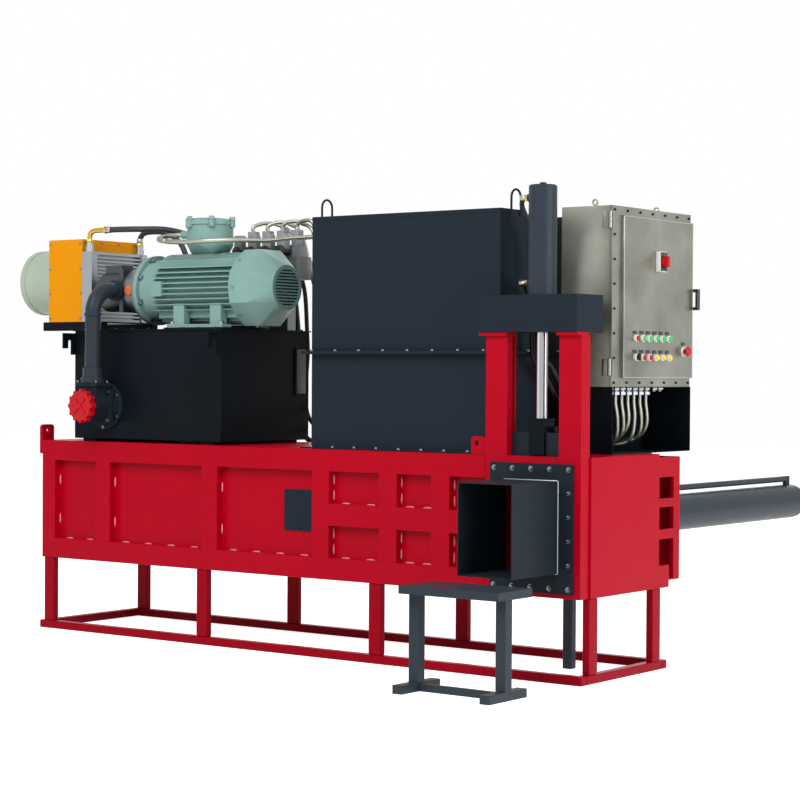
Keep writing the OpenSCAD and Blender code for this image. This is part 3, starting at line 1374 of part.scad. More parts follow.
module ejector_plate() color(dark_grey) place() {
  box([gate_x0 + ej_play, gate_x1 - ej_play], [ej_plate_y, ej_plate_y + ej_plate_t],
    [floor_z + ej_play, ceil_z - ej_play]);
}
module ejector_housing() color(press_red) place() {
  end_plate_t = 35;
  end_y = ej_y0 - end_plate_t;
  difference() {
    box([housing_x0, housing_x1], [end_y, ej_y0], [housing_z0, housing_z1]);
    rod_y(ej_rod_d + 16, gate_xc, [end_y - cut, ej_y0 + cut], ch_zc);
  }
  for (x = [housing_x0, housing_x1 - housing_t])
    difference() {
      box([x, x + housing_t], [body_w, end_y - weld_gap], [housing_z0, housing_z1]);
      for (z = rung_z)
        box([x - cut, x + housing_t + cut], [body_w + 40, end_y - 30], z);
    }
}

// Control cabinet
module hinge_knuckle(z) {
  rod_z(hinge_d, hinge_x, hinge_y, z);
}
module cabinet_shell() color(stainless) place() {
  lip = 18;
  third = hinge_len / 3;
  difference() {
    box([cab_x0, cab_x1], [cab_y0, cab_y1], [cab_z0, cab_z1]);
    box([cab_x0 + cab_t, cab_x1 - cab_t], [cab_y0 + cab_t, cab_y1 - cab_t],
      [cab_z0 + cab_t, cab_z1 - cab_t]);
    box([cab_x1 - 2 * cab_t, cab_x1 + cut], [cab_y0 + lip, cab_y1 - lip], [cab_z0 + lip, cab_z1 - lip]);
  }
  for (z = hinge_z) {
    for (k = [0, 2]) {
      kz = [z + k * third + (k == 2 ? hinge_play : 0), z + (k + 1) * third - (k == 0 ? hinge_play : 0)];
      hinge_knuckle(kz);
      box([cab_x1 - 14, cab_x1], [hinge_y, cab_y0], kz);
      box([cab_x1 - 14, hinge_x], [hinge_y - 4, hinge_y + 4], kz);
    }
    rod_z(hinge_pin_d, hinge_x, hinge_y, [z, z + hinge_len]);
  }
  for (i = [0:gland_n - 1])
    rod_z(gland_d, gland_x, gland_y0 + i * gland_pitch, [cab_z0 - gland_len, cab_z0]);
  for (i = [gland_n, gland_n + 1])
    rod_z(gland_d - 6, gland_x, gland_y0 + (i + 0.3) * gland_pitch, [cab_z0 - 26, cab_z0]);
  for (y = [cab_y0 + 90, cab_y1 - 90]) {
    rod_z(14, gland_x, y, [cab_z1, cab_z1 + 14]);
    translate([gland_x, y, cab_z1 + 26]) rotate([90, 0, 0])
      rotate_extrude() translate([14, 0]) circle(d = 9, $fn = 24);
  }
}
module button_site(y, z) {
  rod_x(collar_d, [panel_x1, panel_x1 + collar_len], y, z);
}
module button_bore(y, z, d) {
  rod_x(d + 2 * run_clear, [door_x0 - cut, panel_x1 + collar_len + cut], y, z);
}
module cabinet_door() color(stainless) place() {
  third = hinge_len / 3;
  handle_z = [cab_z0 + 406, cab_z0 + 517];
  handle_t = 16;
  difference() {
    union() {
      box([door_x0, door_x1], [cab_y0, cab_y1], [cab_z0, cab_z1]);
      box([door_x1, panel_x1], [cab_y0 + door_margin, cab_y1],
        [cab_z0 + panel_edge, cab_z1 - panel_edge]);
      for (y = button_y) {
        button_site(y, row_1_z);
        button_site(y, row_2_z);
      }
      button_site(stop_y, stop_z);
      box([panel_x1, panel_x1 + switch_box_t], [switch_y - 34, switch_y + 34],
        [switch_z - 52, switch_z + 52]);
      for (z = hinge_z) {
        kz = [z + third, z + 2 * third];
        hinge_knuckle(kz);
        box([hinge_x, hinge_x + 6], [hinge_y, cab_y0 + cut], kz);
      }
      for (z = [handle_z[0], handle_z[1] - handle_t])
        box([door_x0 + 2, panel_x1 + 30], [cab_y1, cab_y1 + handle_t], [z, z + handle_t]);
      box([panel_x1 + 14, panel_x1 + 30], [cab_y1, cab_y1 + handle_t + 8], handle_z);
    }
    for (y = button_y) {
      button_bore(y, row_1_z, stem_d);
      button_bore(y, row_2_z, stem_d);
    }
    button_bore(stop_y, stop_z, stem_d);
    rod_x(switch_stem + 2 * run_clear, [door_x0 - cut, panel_x1 + switch_box_t + cut], switch_y, switch_z);
    for (z = hinge_z)
      rod_z(hinge_pin_d + 2 * run_clear, hinge_x, hinge_y, [z, z + hinge_len]);
  }
}
module cabinet_stand() color(black) place() difference() {
  z1 = cab_z0;
  x1 = cab_x1 + 20;
  box([cab_x0, x1], [cab_y0, cab_y1], [body_z1, z1]);
  box([cab_x0 + cab_t, x1 + cut], [cab_y0 + cab_t, cab_y1 - cab_t], [body_z1 + cab_t, z1 - cab_t]);
  box([cab_x0 + 30, cab_x1 - 30], [cab_y0 + 60, cab_y1 - 14], [z1 - 2 * cab_t, z1 + cut]);
}

// Controls on the door
module push_button(y, z, shade) color(shade) place() {
  head_x = panel_x1 + collar_len + cap_gap + button_travel;
  rod_x(stem_d, [panel_x1 - stem_back, head_x], y, z);
  rod_x(button_cap_d, [head_x, head_x + button_cap_len - 3], y, z);
  cone_x(button_cap_d, button_cap_d - 6, [head_x + button_cap_len - 3, head_x + button_cap_len], y, z);
}
module button_1() push_button(button_y[0], row_1_z, signal_red);
module button_2() push_button(button_y[1], row_1_z, signal_green);
module button_3() push_button(button_y[2], row_1_z, signal_green);
module button_4() push_button(button_y[3], row_1_z, signal_green);
module button_5() push_button(button_y[4], row_1_z, signal_green);
module button_6() push_button(button_y[5], row_1_z, signal_green);
module button_7() push_button(button_y[1], row_2_z, signal_red);
module button_8() push_button(button_y[2], row_2_z, signal_red);
module button_9() push_button(button_y[3], row_2_z, signal_yellow);
module button_10() push_button(button_y[4], row_2_z, signal_yellow);
module button_11() push_button(button_y[5], row_2_z, signal_yellow);
module selector_switch() color(black) place() {
  y = button_y[0];
  head_x = panel_x1 + collar_len + cap_gap;
  rod_x(stem_d, [panel_x1 - stem_back, head_x], y, row_2_z);
  rod_x(button_cap_d, [head_x, head_x + 8], y, row_2_z);
  box([head_x + 8, head_x + 24], [y - 5, y + 5], [row_2_z - 14, row_2_z + 20]);
}
module main_switch() color(signal_red) place() {
  plate_x = panel_x1 + switch_box_t + cap_gap;
  rod_x(switch_stem, [panel_x1 - stem_back, plate_x], switch_y, switch_z);
  rod_x(52, [plate_x, plate_x + 9], switch_y, switch_z);
  box([plate_x + 9, plate_x + 32], [switch_y - 10, switch_y + 10], [switch_z - 28, switch_z + 28]);
}
module emergency_stop() color(signal_red) place() {
  head_x = panel_x1 + collar_len + cap_gap + button_travel;
  rod_x(stem_d, [panel_x1 - stem_back, head_x], stop_y, stop_z);
  cone_x(30, 52, [head_x, head_x + 11], stop_y, stop_z);
  rod_x(52, [head_x + 11, head_x + 17], stop_y, stop_z);
  cone_x(52, 40, [head_x + 17, head_x + 22], stop_y, stop_z);
}

// Conduits and hoses
module conduits() color(conduit_grey) place() {
  for (i = [0:gland_n - 1]) {
    y = gland_y0 + i * gland_pitch;
    d = conduit_drift[i];
    z = body_z1 + conduit_fall[i];
    tube([[gland_x, y, cab_z0 - gland_len], [gland_x, y, cab_z0 - 0.26 * stand_h],
      [gland_x + 6, y + d / 3, cab_z0 - 0.47 * stand_h],
      [gland_x - 6, y + d * 0.8, z + 60], [gland_x - 40, y + d - 8, z + 14],
      [cab_x0 + 50, y + d - 40, z], [cab_x0 + cab_t, y + d - 40, z]], conduit_d);
  }
  for (i = [0:valve_n - 1])
    tube(harness(i), conduit_d);
  tube(motor_cable, conduit_d + 4);
}
module hydraulic_hoses() color(black) place() {
  tube(gate_hose_low, small_hose_d);
  tube(gate_hose_high, small_hose_d);
  tube(ejector_hose, hose_d);
  tube(ejector_pipe_hose, hose_d);
  tube(main_hose_rod, hose_d);
  tube(main_hose_cap, hose_d);
  tube(cooler_hose_front, hose_d);
  tube(cooler_hose_rear, hose_d);
}

base_frame();
front_wall();
rear_wall();
floor_plate();
top_deck();
body_ends();
gate_portal();
portal_beam();
centre_prop();
inspection_cover();
chute();
bag_bench();
lower_hopper();
upper_hopper();
oil_tank();
tank_lid();
motor_frame();
fan_cover();
terminal_box();
motor_rotor();
bell_housing();
hydraulic_pump();
suction_filter();
suction_cap();
suction_pipe();
cooler_core();
cooler_shroud();
cooler_cowl();
cooler_fan();
valve_stack();
main_cylinder();
main_rod();
main_ram();
gate_cylinder();
gate_rod();
gate_clevis();
gate_plate();
ejector_cylinder();
ejector_rod();
ejector_plate();
ejector_housing();
cabinet_shell();
cabinet_door();
cabinet_stand();
main_switch();
emergency_stop();
button_1();
button_2();
button_3();
button_4();
button_5();
button_6();
button_7();
button_8();
button_9();
button_10();
button_11();
selector_switch();
conduits();
hydraulic_hoses();
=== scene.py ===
"""Bagging press: finishes, fasteners, welds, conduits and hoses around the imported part."""

import json
import math

import bpy
from bpy.props import FloatProperty, FloatVectorProperty, PointerProperty
from mathutils import Matrix, Vector


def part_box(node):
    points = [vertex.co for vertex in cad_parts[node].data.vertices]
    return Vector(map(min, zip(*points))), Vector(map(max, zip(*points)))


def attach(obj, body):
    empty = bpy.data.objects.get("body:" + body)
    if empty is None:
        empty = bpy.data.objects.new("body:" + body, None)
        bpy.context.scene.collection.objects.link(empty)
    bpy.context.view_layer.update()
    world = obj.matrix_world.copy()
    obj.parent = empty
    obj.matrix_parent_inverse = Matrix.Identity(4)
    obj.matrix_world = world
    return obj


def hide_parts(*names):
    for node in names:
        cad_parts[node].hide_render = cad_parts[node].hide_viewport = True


bl_info = {
    "name": "Bagging press finishes",
    "version": (1, 0, 0),
    "blender": (4, 5, 0),
    "location": "3D View > Sidebar > Press",
    "description": "Finishes, fasteners, welds, conduits and hoses of a bagging press",
    "category": "Object",
}

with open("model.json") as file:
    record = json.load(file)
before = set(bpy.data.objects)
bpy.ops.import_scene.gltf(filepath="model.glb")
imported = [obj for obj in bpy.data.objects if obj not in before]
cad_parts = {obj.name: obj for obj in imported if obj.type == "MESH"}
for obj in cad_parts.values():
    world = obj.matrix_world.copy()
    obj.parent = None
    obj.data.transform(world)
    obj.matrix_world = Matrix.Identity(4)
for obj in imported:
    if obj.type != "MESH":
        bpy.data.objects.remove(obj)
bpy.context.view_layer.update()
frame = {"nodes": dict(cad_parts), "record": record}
NODES = frame["nodes"]
RECORD = frame["record"]
SLOT_OF = {row["node"]: row["material_slot"] for row in RECORD["subparts"]}
BODY_OF = {n: b for b, members in RECORD["behaviour"]["bodies"].items() for n in members}

# The machine's own zero: outlet end, front face, floor
ZERO = Vector((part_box("body_ends")[1].x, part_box("front_wall")[0].y, 0.0))
MM = 0.001
UP, DOWN = Vector((0, 0, 1)), Vector((0, 0, -1))
FRONT, REAR = Vector((0, -1, 0)), Vector((0, 1, 0))
RIGHT = Vector((1, 0, 0))


def linear(code):
    """Linear RGBA of an sRGB hex colour."""
    parts = [int(code[i:i + 2], 16) / 255 for i in (1, 3, 5)]
    return [c / 12.92 if c <= 0.04045 else ((c + 0.055) / 1.055) ** 2.4 for c in parts] + [1.0]


def spot(x, y, z):
    """A point given in the machine's millimetres, in the row frame."""
    return ZERO + Vector((x, y, z)) * MM


# Properties

def colour(name, code, words):
    return FloatVectorProperty(
        name=name, description=words, subtype="COLOR", size=4, min=0, max=1, default=linear(code))


def length(name, millimetres, words):
    return FloatProperty(
        name=name, description=words, unit="LENGTH", min=0.0, default=millimetres * MM)


class PressColours(bpy.types.PropertyGroup):
    """Colours of the painted and moulded parts"""
    body: colour("Press body", "#AC001C", "Gloss red enamel of the press body")
    slate: colour("Hopper", "#1F2730", "Satin blue-grey paint of hopper and beam")
    rail: colour("Bench", "#2B343D", "Satin blue-grey paint of bench, pipe and cylinders")
    chute: colour("Chute", "#1D252C", "Satin grey paint of the bag chute")
    tank: colour("Tank", "#0E141A", "Black enamel of tank and stand")
    motor: colour("Motor", "#7C9E98", "Grey-green enamel of the motor")
    shroud: colour("Shroud", "#E39000", "Yellow enamel of the cooler shroud")
    duct: colour("Duct", "#A9B7A6", "Cream enamel of the round fan duct")
    signal_red: colour("Signal red", "#BC101D", "Red push buttons, knob and filter cap")
    signal_green: colour("Signal green", "#1FB557", "Green push buttons")
    signal_yellow: colour("Signal yellow", "#E9CF12", "Yellow push buttons")


class PressSizes(bpy.types.PropertyGroup):
    """Sizes of the small fittings"""
    bolt: length("Bolt head", 24, "Width across flats of a structural bolt")
    screw: length("Screw head", 14, "Width across flats of a cover screw")
    weld: length("Weld bead", 11, "Width of a weld bead")
    stitch: length("Weld stitch", 54, "Length of one weld stitch")
    rib: length("Conduit rib", 9, "Distance between the ribs of a conduit")
    tube_edge: length("Tube corner", 6, "Corner radius of the square tubes")
    sheet_edge: length("Sheet edge", 1.2, "Eased edge of a folded sheet or a thin fin")
    plate_edge: length("Plate edge", 3, "Eased edge of a cut plate")


def colours():
    return bpy.context.scene.press_colours


def sizes():
    return bpy.context.scene.press_sizes


# Small modelling helpers

def deselect():
    if bpy.context.object and bpy.context.object.mode != "OBJECT":
        bpy.ops.object.mode_set(mode="OBJECT")
    bpy.ops.object.select_all(action="DESELECT")


def activate(obj):
    deselect()
    obj.select_set(True)
    bpy.context.view_layer.objects.active = obj


def edit_all(obj):
    activate(obj)
    bpy.ops.object.mode_set(mode="EDIT")
    bpy.ops.mesh.select_all(action="SELECT")


def pick_faces(obj, test):
    """Edit mode with only the faces that pass the test selected."""
    activate(obj)
    bpy.ops.object.mode_set(mode="EDIT")
    bpy.ops.mesh.select_mode(type="FACE")
    bpy.ops.mesh.select_all(action="DESELECT")
    bpy.ops.object.mode_set(mode="OBJECT")
    for face in obj.data.polygons:
        face.select = bool(test(face))
    bpy.ops.object.mode_set(mode="EDIT")


def apply_modifier(obj, kind, **settings):
    activate(obj)
    modifier = obj.modifiers.new(kind.lower(), kind)
    for key, value in settings.items():
        setattr(modifier, key, value)
    bpy.ops.object.modifier_apply(modifier=modifier.name)


def smooth(obj, degrees=35):
    activate(obj)
    bpy.ops.object.shade_smooth_by_angle(angle=math.radians(degrees))


def apply_place(obj):
    activate(obj)
    bpy.ops.object.transform_apply(location=True, rotation=True, scale=True)


def finish_piece(obj, name, material, body="press"):
    """Name, slot, material and body of a finished piece."""
    deselect()
    obj.name = name
    obj.data.name = name
    obj.data.materials.clear()
    obj.data.materials.append(material)
    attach(obj, body)
    return obj


def joined(pieces):
    """The given pieces as one mesh."""
    deselect()
    for piece in pieces:
        piece.select_set(True)
    bpy.context.view_layer.objects.active = pieces[0]
    if len(pieces) > 1:
        bpy.ops.object.join()
    return pieces[0]


def copied(obj):
    """A copy with its own mesh."""
    copy = obj.copy()
    copy.data = obj.data.copy()
    bpy.context.scene.collection.objects.link(copy)
    return copy


def discard(*pieces):
    for piece in pieces:
        bpy.data.objects.remove(piece)


def cut_away(obj, tool):
    """Takes the tool's shape out of a piece."""
    apply_modifier(obj, "BOOLEAN", operation="DIFFERENCE", object=tool, solver="EXACT")
    discard(tool)


def aimed(place, direction):
    """The move that takes a fitting from the origin, pointing up, to a place and a direction."""
    turn = UP.rotation_difference(direction).to_matrix().to_4x4()
    return Matrix.Translation(Vector(place)) @ turn


def set_out(template, spots):
    """Copies of one fitting at the given (place, direction) pairs, as one mesh."""
    copies = []
    for place, direction in spots:
        copy = copied(template)
        copy.data.transform(aimed(place, direction))
        copies.append(copy)
    return joined(copies)


def row(first, last, count):
    """Evenly spaced values from first to last."""
    return [first + (last - first) * k / (count - 1) for k in range(count)]


def ring(centre, radius, across, up, first, last, count, direction=None):
    """Places evenly round a centre between two angles, each with the direction or else straight out."""
    spots = []
    for angle in row(math.radians(first), math.radians(last), count):
        out = across * math.cos(angle) + up * math.sin(angle)
        spots.append((centre + out * radius, out if direction is None else direction))
    return spots


def hex_head(across, height, washer=1.7):
    """A hexagon head on its washer, standing on the floor at zero."""
    deselect()
    flange = 0.18 * height
    bpy.ops.mesh.primitive_cylinder_add(
        vertices=16, radius=across * washer / 2, depth=flange, location=(0, 0, flange / 2))
    obj = bpy.context.object
    bpy.ops.object.mode_set(mode="EDIT")
    bpy.ops.mesh.primitive_cylinder_add(
        vertices=6, radius=across / math.sqrt(3), depth=height, location=(0, 0, flange + height / 2))
    bpy.ops.object.mode_set(mode="OBJECT")
    apply_place(obj)
    top = flange + height
    pick_faces(obj, lambda f: f.normal.z > 0.9 and f.center.z > top * 0.95)
    bpy.ops.mesh.inset(thickness=across * 0.09, depth=height * 0.1)
    bpy.ops.object.mode_set(mode="OBJECT")
    smooth(obj, 25)
    return obj


def round_head(diameter, height):
    """A domed screw head with a round socket."""
    deselect()
    bpy.ops.mesh.primitive_cylinder_add(
        vertices=16, radius=diameter / 2, depth=height, location=(0, 0, height / 2))
    obj = bpy.context.object
    apply_place(obj)
    pick_faces(obj, lambda f: f.normal.z > 0.9)
    bpy.ops.mesh.inset(thickness=diameter * 0.1, depth=height * 0.18)
    bpy.ops.mesh.inset(thickness=diameter * 0.18)
    bpy.ops.mesh.extrude_region_move(TRANSFORM_OT_translate={"value": (0, 0, -height * 0.5)})
    bpy.ops.object.mode_set(mode="OBJECT")
    smooth(obj, 40)
    return obj


def block(low, high, edge, segments=2):
    """A box between two corners with eased edges."""
    deselect()
    middle = (Vector(low) + Vector(high)) / 2
    bpy.ops.mesh.primitive_cube_add(size=1, location=middle)
    obj = bpy.context.object
    obj.scale = Vector(high) - Vector(low)
    apply_place(obj)
    edit_all(obj)
    bpy.ops.mesh.bevel(offset=edge, offset_type="OFFSET", segments=segments, affect="EDGES")
    bpy.ops.object.mode_set(mode="OBJECT")
    smooth(obj, 40)
    return obj


def drum(radius, start, direction, depth, edge, vertices=32):
    """A round boss from start along direction with eased rims."""
    deselect()
    bpy.ops.mesh.primitive_cylinder_add(
        vertices=vertices, radius=radius, depth=depth, location=(0, 0, depth / 2))
    obj = bpy.context.object
    apply_place(obj)
    pick_faces(obj, lambda f: abs(f.normal.z) > 0.9)
    bpy.ops.mesh.bevel(offset=edge, segments=2, affect="EDGES")
    bpy.ops.object.mode_set(mode="OBJECT")
    obj.data.transform(aimed(start, direction))
    smooth(obj, 40)
    return obj


def sleeve(outer, inner, start, direction, depth, edge, vertices=32):
    """A ring or sleeve from start along direction."""
    obj = drum(outer, (0, 0, 0), UP, depth, edge, vertices)
    deselect()
    bpy.ops.mesh.primitive_cylinder_add(
        vertices=vertices, radius=inner, depth=depth * 3, location=(0, 0, depth / 2))
    cut_away(obj, bpy.context.object)
    obj.data.transform(aimed(start, direction))
    smooth(obj, 40)
    return obj


# Materials

# Colour of workshop dust, and how high above the floor it reaches, in metres
DUST_COLOUR, DUST_HEIGHT = "#8C8478", 0.30


def add(tree, kind, inputs=None, **settings):
    """Adds a node, sets it up and links its inputs."""
    node = tree.nodes.new(kind)
    for key, value in settings.items():
        setattr(node, key, value)
    for key, value in (inputs or {}).items():
        if isinstance(value, bpy.types.NodeSocket):
            tree.links.new(value, node.inputs[key])
        else:
            node.inputs[key].default_value = value
    return node


def new_material(name):
    material = bpy.data.materials.new(name)
    material.use_nodes = True
    tree = material.node_tree
    tree.nodes.clear()
    output = add(tree, "ShaderNodeOutputMaterial")
    return material, tree, output


def shade(colour_value, factor):
    return [c * factor for c in colour_value[:3]] + [1.0]


def enamel(name, colour_value, rough, peel_mm=7.0, dust=0.0, patch=0.10, peel=0.12, shine=0.35):
    """Sprayed enamel or powder coat: even colour, faint orange peel, soft scuffs and floor dust.

    Real orange peel is 1 to 3 mm wide. It is drawn coarser, so that it shows in the render.
    """
    material, tree, output = new_material(name)
    coords = add(tree, "ShaderNodeTexCoord").outputs["Object"]
    cloud = add(tree, "ShaderNodeTexNoise", {
        "Vector": coords, "Scale": 2.2, "Detail": 4.0, "Roughness": 0.6})
    scuff = add(tree, "ShaderNodeTexNoise", {
        "Vector": coords, "Scale": 26.0, "Detail": 8.0, "Roughness": 0.7})
    tint = add(tree, "ShaderNodeMix", {
        "Factor": cloud.outputs["Fac"],
        "A": shade(colour_value, 1 - patch), "B": shade(colour_value, 1 + patch)}, data_type="RGBA")
    base = tint.outputs["Result"]
    if dust:
        height = add(tree, "ShaderNodeSeparateXYZ", {"Vector": coords}).outputs["Z"]
        low = add(tree, "ShaderNodeMapRange", {
            "Value": height, "From Min": 0.0, "From Max": DUST_HEIGHT, "To Min": dust, "To Max": 0.0})
        grain = add(tree, "ShaderNodeMath", {
            0: low.outputs["Result"], 1: scuff.outputs["Fac"]}, operation="MULTIPLY")
        dusty = add(tree, "ShaderNodeMix", {
            "Factor": grain.outputs["Value"], "A": base, "B": linear(DUST_COLOUR)}, data_type="RGBA")
        base = dusty.outputs["Result"]
    gloss = add(tree, "ShaderNodeMapRange", {
        "Value": scuff.outputs["Fac"], "From Min": 0.3, "From Max": 0.75,
        "To Min": rough - 0.05, "To Max": rough + 0.10})
    grit = add(tree, "ShaderNodeTexNoise", {
        "Vector": coords, "Scale": 1000.0 / peel_mm, "Detail": 2.0, "Roughness": 0.5})
    bump = add(tree, "ShaderNodeBump", {
        "Height": grit.outputs["Fac"], "Strength": peel, "Distance": 0.0012})
    shader = add(tree, "ShaderNodeBsdfPrincipled", {
        "Base Color": base, "Roughness": gloss.outputs["Result"], "Normal": bump.outputs["Normal"],
        "IOR": 1.5, "Specular IOR Level": shine})
    tree.links.new(shader.outputs["BSDF"], output.inputs["Surface"])
    return material


def metal(name, code, rough, stretch=(1, 1, 1), streak_mm=4.0, spread=0.10, bump_height=0.0002, dull=None):
    """Bare or plated metal: streaks along the working direction change its gloss and colour a little.

    Grinding marks are finer than 1 mm. They are drawn coarser, so that they show in the render.
    """
    material, tree, output = new_material(name)
    coords = add(tree, "ShaderNodeTexCoord").outputs["Object"]
    along = add(tree, "ShaderNodeMapping", {"Vector": coords, "Scale": stretch})
    streak = add(tree, "ShaderNodeTexNoise", {
        "Vector": along.outputs["Vector"], "Scale": 1000.0 / streak_mm, "Detail": 3.0, "Roughness": 0.6})
    cloud = add(tree, "ShaderNodeTexNoise", {"Vector": coords, "Scale": 3.5, "Detail": 5.0})
    light = linear(code)
    mixed = add(tree, "ShaderNodeMix", {
        "Factor": cloud.outputs["Fac"], "A": linear(dull) if dull else shade(light, 0.84), "B": light},
        data_type="RGBA")
    gloss = add(tree, "ShaderNodeMapRange", {
        "Value": streak.outputs["Fac"], "From Min": 0.25, "From Max": 0.75,
        "To Min": max(0.03, rough - spread), "To Max": rough + spread})
    bump = add(tree, "ShaderNodeBump", {
        "Height": streak.outputs["Fac"], "Strength": 0.2, "Distance": bump_height})
    shader = add(tree, "ShaderNodeBsdfPrincipled", {
        "Base Color": mixed.outputs["Result"], "Metallic": 1.0, "Roughness": gloss.outputs["Result"],
        "Normal": bump.outputs["Normal"]})
    tree.links.new(shader.outputs["BSDF"], output.inputs["Surface"])
    return material


def moulded(name, colour_value, rough, grain_mm=3.0, sheen=0.15, shine=0.5):
    """Moulded plastic or rubber: even colour with a spark-eroded grain, drawn coarser than the real one."""
    material, tree, output = new_material(name)
    coords = add(tree, "ShaderNodeTexCoord").outputs["Object"]
    grain = add(tree, "ShaderNodeTexNoise", {
        "Vector": coords, "Scale": 1000.0 / grain_mm, "Detail": 2.0})
    cloud = add(tree, "ShaderNodeTexNoise", {"Vector": coords, "Scale": 9.0, "Detail": 3.0})
    tint = add(tree, "ShaderNodeMix", {
        "Factor": cloud.outputs["Fac"], "A": shade(colour_value, 0.88), "B": shade(colour_value, 1.06)},
        data_type="RGBA")
    gloss = add(tree, "ShaderNodeMapRange", {
        "Value": grain.outputs["Fac"], "To Min": rough - 0.06, "To Max": rough + 0.08})
    bump = add(tree, "ShaderNodeBump", {
        "Height": grain.outputs["Fac"], "Strength": 0.12, "Distance": 0.0004})
    shader = add(tree, "ShaderNodeBsdfPrincipled", {
        "Base Color": tint.outputs["Result"], "Roughness": gloss.outputs["Result"],
        "Normal": bump.outputs["Normal"], "IOR": 1.5, "Coat Weight": sheen, "Specular IOR Level": shine})
    tree.links.new(shader.outputs["BSDF"], output.inputs["Surface"])
    return material


MATERIALS = {}
EVEN = (1, 1, 1)


def make_materials():
    """Every finish of the machine, by a short name."""
    c = colours()
    # Two-pack gloss enamel over welded steel plate: deep colour, soft reflections, dust near the floor
    MATERIALS["red_paint"] = enamel("gloss red enamel", c.body, 0.32, dust=0.06, shine=0.07)
    # The same enamel on the tubes of the base, darker and more even than on the body
    MATERIALS["red_tube"] = enamel(
        "deep red enamel on tube", linear("#960018"), 0.34, patch=0.06, shine=0.06)
    # The same enamel over a weld bead, paler than on the body: the pale colour is a painted highlight along
    # the stitches
    MATERIALS["red_weld"] = enamel("red enamel over weld, painted highlight", linear("#DC7C88"), 0.26, shine=0.6)
    # Bare weld metal, brushed once and a little uneven; its pale grey against the dark chute is a painted
    # highlight along the flange seams
    MATERIALS["weld_metal"] = metal("brushed weld metal, painted highlight", "#9BA1A5", 0.42, EVEN, 5.0)
    # Powder coat on sheet steel: even, satin, slightly pebbled
    MATERIALS["dark_paint"] = enamel("slate powder coat", c.slate, 0.42, peel_mm=6.0, dust=0.08, shine=0.05)
    # Sprayed slate on bench, pipe and cylinders: lighter and a little glossier
    MATERIALS["rail_paint"] = enamel("satin slate enamel", c.rail, 0.34, peel_mm=6.0, dust=0.05, shine=0.12)
    # Powder coat on the chute: dull, because bags rub on it
    MATERIALS["chute_paint"] = enamel("grey powder coat", c.chute, 0.44, peel_mm=6.0, shine=0.08)
    # Brushed-on black enamel: darker, with uneven patches
    MATERIALS["black_paint"] = enamel("black tank enamel", c.tank, 0.30, patch=0.2, shine=0.045)
    # Enamel over sand-cast iron: coarse pebbling under the paint
    MATERIALS["motor_paint"] = enamel(
        "enamelled cast iron", c.motor, 0.36, peel_mm=11.0, peel=0.28, shine=0.2)
    # Stoved enamel on thin sheet: clean, even colour
    MATERIALS["yellow_paint"] = enamel("yellow sheet enamel", c.shroud, 0.38, shine=0.12)
    MATERIALS["cream_paint"] = enamel("cream sheet enamel", c.duct, 0.40, shine=0.2)
    # Blasted aluminium casting: silver, dull, with a rough skin
    MATERIALS["cast_grey"] = metal("blasted aluminium casting", "#7E8283", 0.50, EVEN, 9.0, 0.08, 0.0012)
    # Phosphated cast iron of the pump: dark, dull, a little oily
    MATERIALS["pump_iron"] = metal("phosphated cast iron", "#505355", 0.46, EVEN, 9.0, 0.08, 0.0012)
    # Brazed aluminium: pale, dull, with fin marks
    MATERIALS["core_aluminium"] = metal("brazed aluminium", "#A2A8AB", 0.42, (1, 1, 14), 5.0)
    # Stainless sheet with a linished grain: light and dark patches under a soft gloss
    MATERIALS["stainless"] = metal(
        "linished stainless sheet", "#B1B3A6", 0.36, (16, 16, 1), 9.0, 0.06, dull="#5C5E58")
    # Hard chrome, ground and polished: mirrors what stands round it
    MATERIALS["chrome"] = metal("hard chrome rod", "#B4B7B9", 0.10, (1, 1, 10), 6.0, 0.05)
    # Turned steel: grey, with tool marks across it
    MATERIALS["steel"] = metal("turned steel", "#727576", 0.35, (10, 1, 1), 5.0)
    # Zinc plate on small fasteners: pale, slightly blue
    MATERIALS["zinc"] = metal("zinc plated steel", "#9A9FA3", 0.32, EVEN, 6.0)
    # Oiled black oxide on bolts: nearly black with a soft gleam
    MATERIALS["black_bolt"] = metal("black oxide steel", "#2C2E31", 0.40, EVEN, 6.0)
    # Turned brass fittings: warm and bright
    MATERIALS["brass"] = metal("turned brass", "#C7A24A", 0.28, EVEN, 5.0)
    # Moulded caps and covers of the controls: even colour under a thin gloss
    MATERIALS["red_plastic"] = moulded("red moulded cap", c.signal_red, 0.34, sheen=0.04, shine=0.2)
    MATERIALS["green_plastic"] = moulded("green moulded cap", c.signal_green, 0.32)
    MATERIALS["yellow_plastic"] = moulded("yellow moulded cap", c.signal_yellow, 0.32)
    MATERIALS["black_plastic"] = moulded("black moulded plastic", linear("#17191B"), 0.45)
    MATERIALS["grey_plastic"] = moulded("grey moulded plug", linear("#8D9094"), 0.42)
    MATERIALS["white_plastic"] = moulded("white moulded plate", linear("#E6E5DF"), 0.38)
    MATERIALS["orange_plastic"] = moulded("orange guard plug", linear("#E2672B"), 0.40)
    # Spiral conduit wound from galvanised strip: dull grey with paler ribs
    MATERIALS["conduit_grey"] = metal(
        "galvanised spiral conduit", "#A6A69D", 0.42, EVEN, 5.0, dull="#8A8A81")
    # Hydraulic hose rubber: matt black, chalky wear
    MATERIALS["hose_rubber"] = moulded("hose rubber", linear("#1B1C1E"), 0.55, 4.0, 0.0)


# Pieces made from the solids, with eased edges

TUBE_NODES = ["base_frame", "gate_portal", "centre_prop"]
PLATE_NODES = [
    "front_wall", "rear_wall", "body_ends", "top_deck", "portal_beam", "ejector_housing", "gate_clevis",
    "gate_plate", "valve_stack"]
SHEET_NODES = [
    "chute", "inspection_cover", "lower_hopper", "upper_hopper", "oil_tank", "tank_lid", "cabinet_shell",
    "cabinet_door", "cabinet_stand", "cooler_shroud", "cooler_core", "fan_cover", "motor_frame", "bag_bench"]
CAST_NODES = ["terminal_box", "bell_housing", "hydraulic_pump", "suction_filter", "suction_cap"]

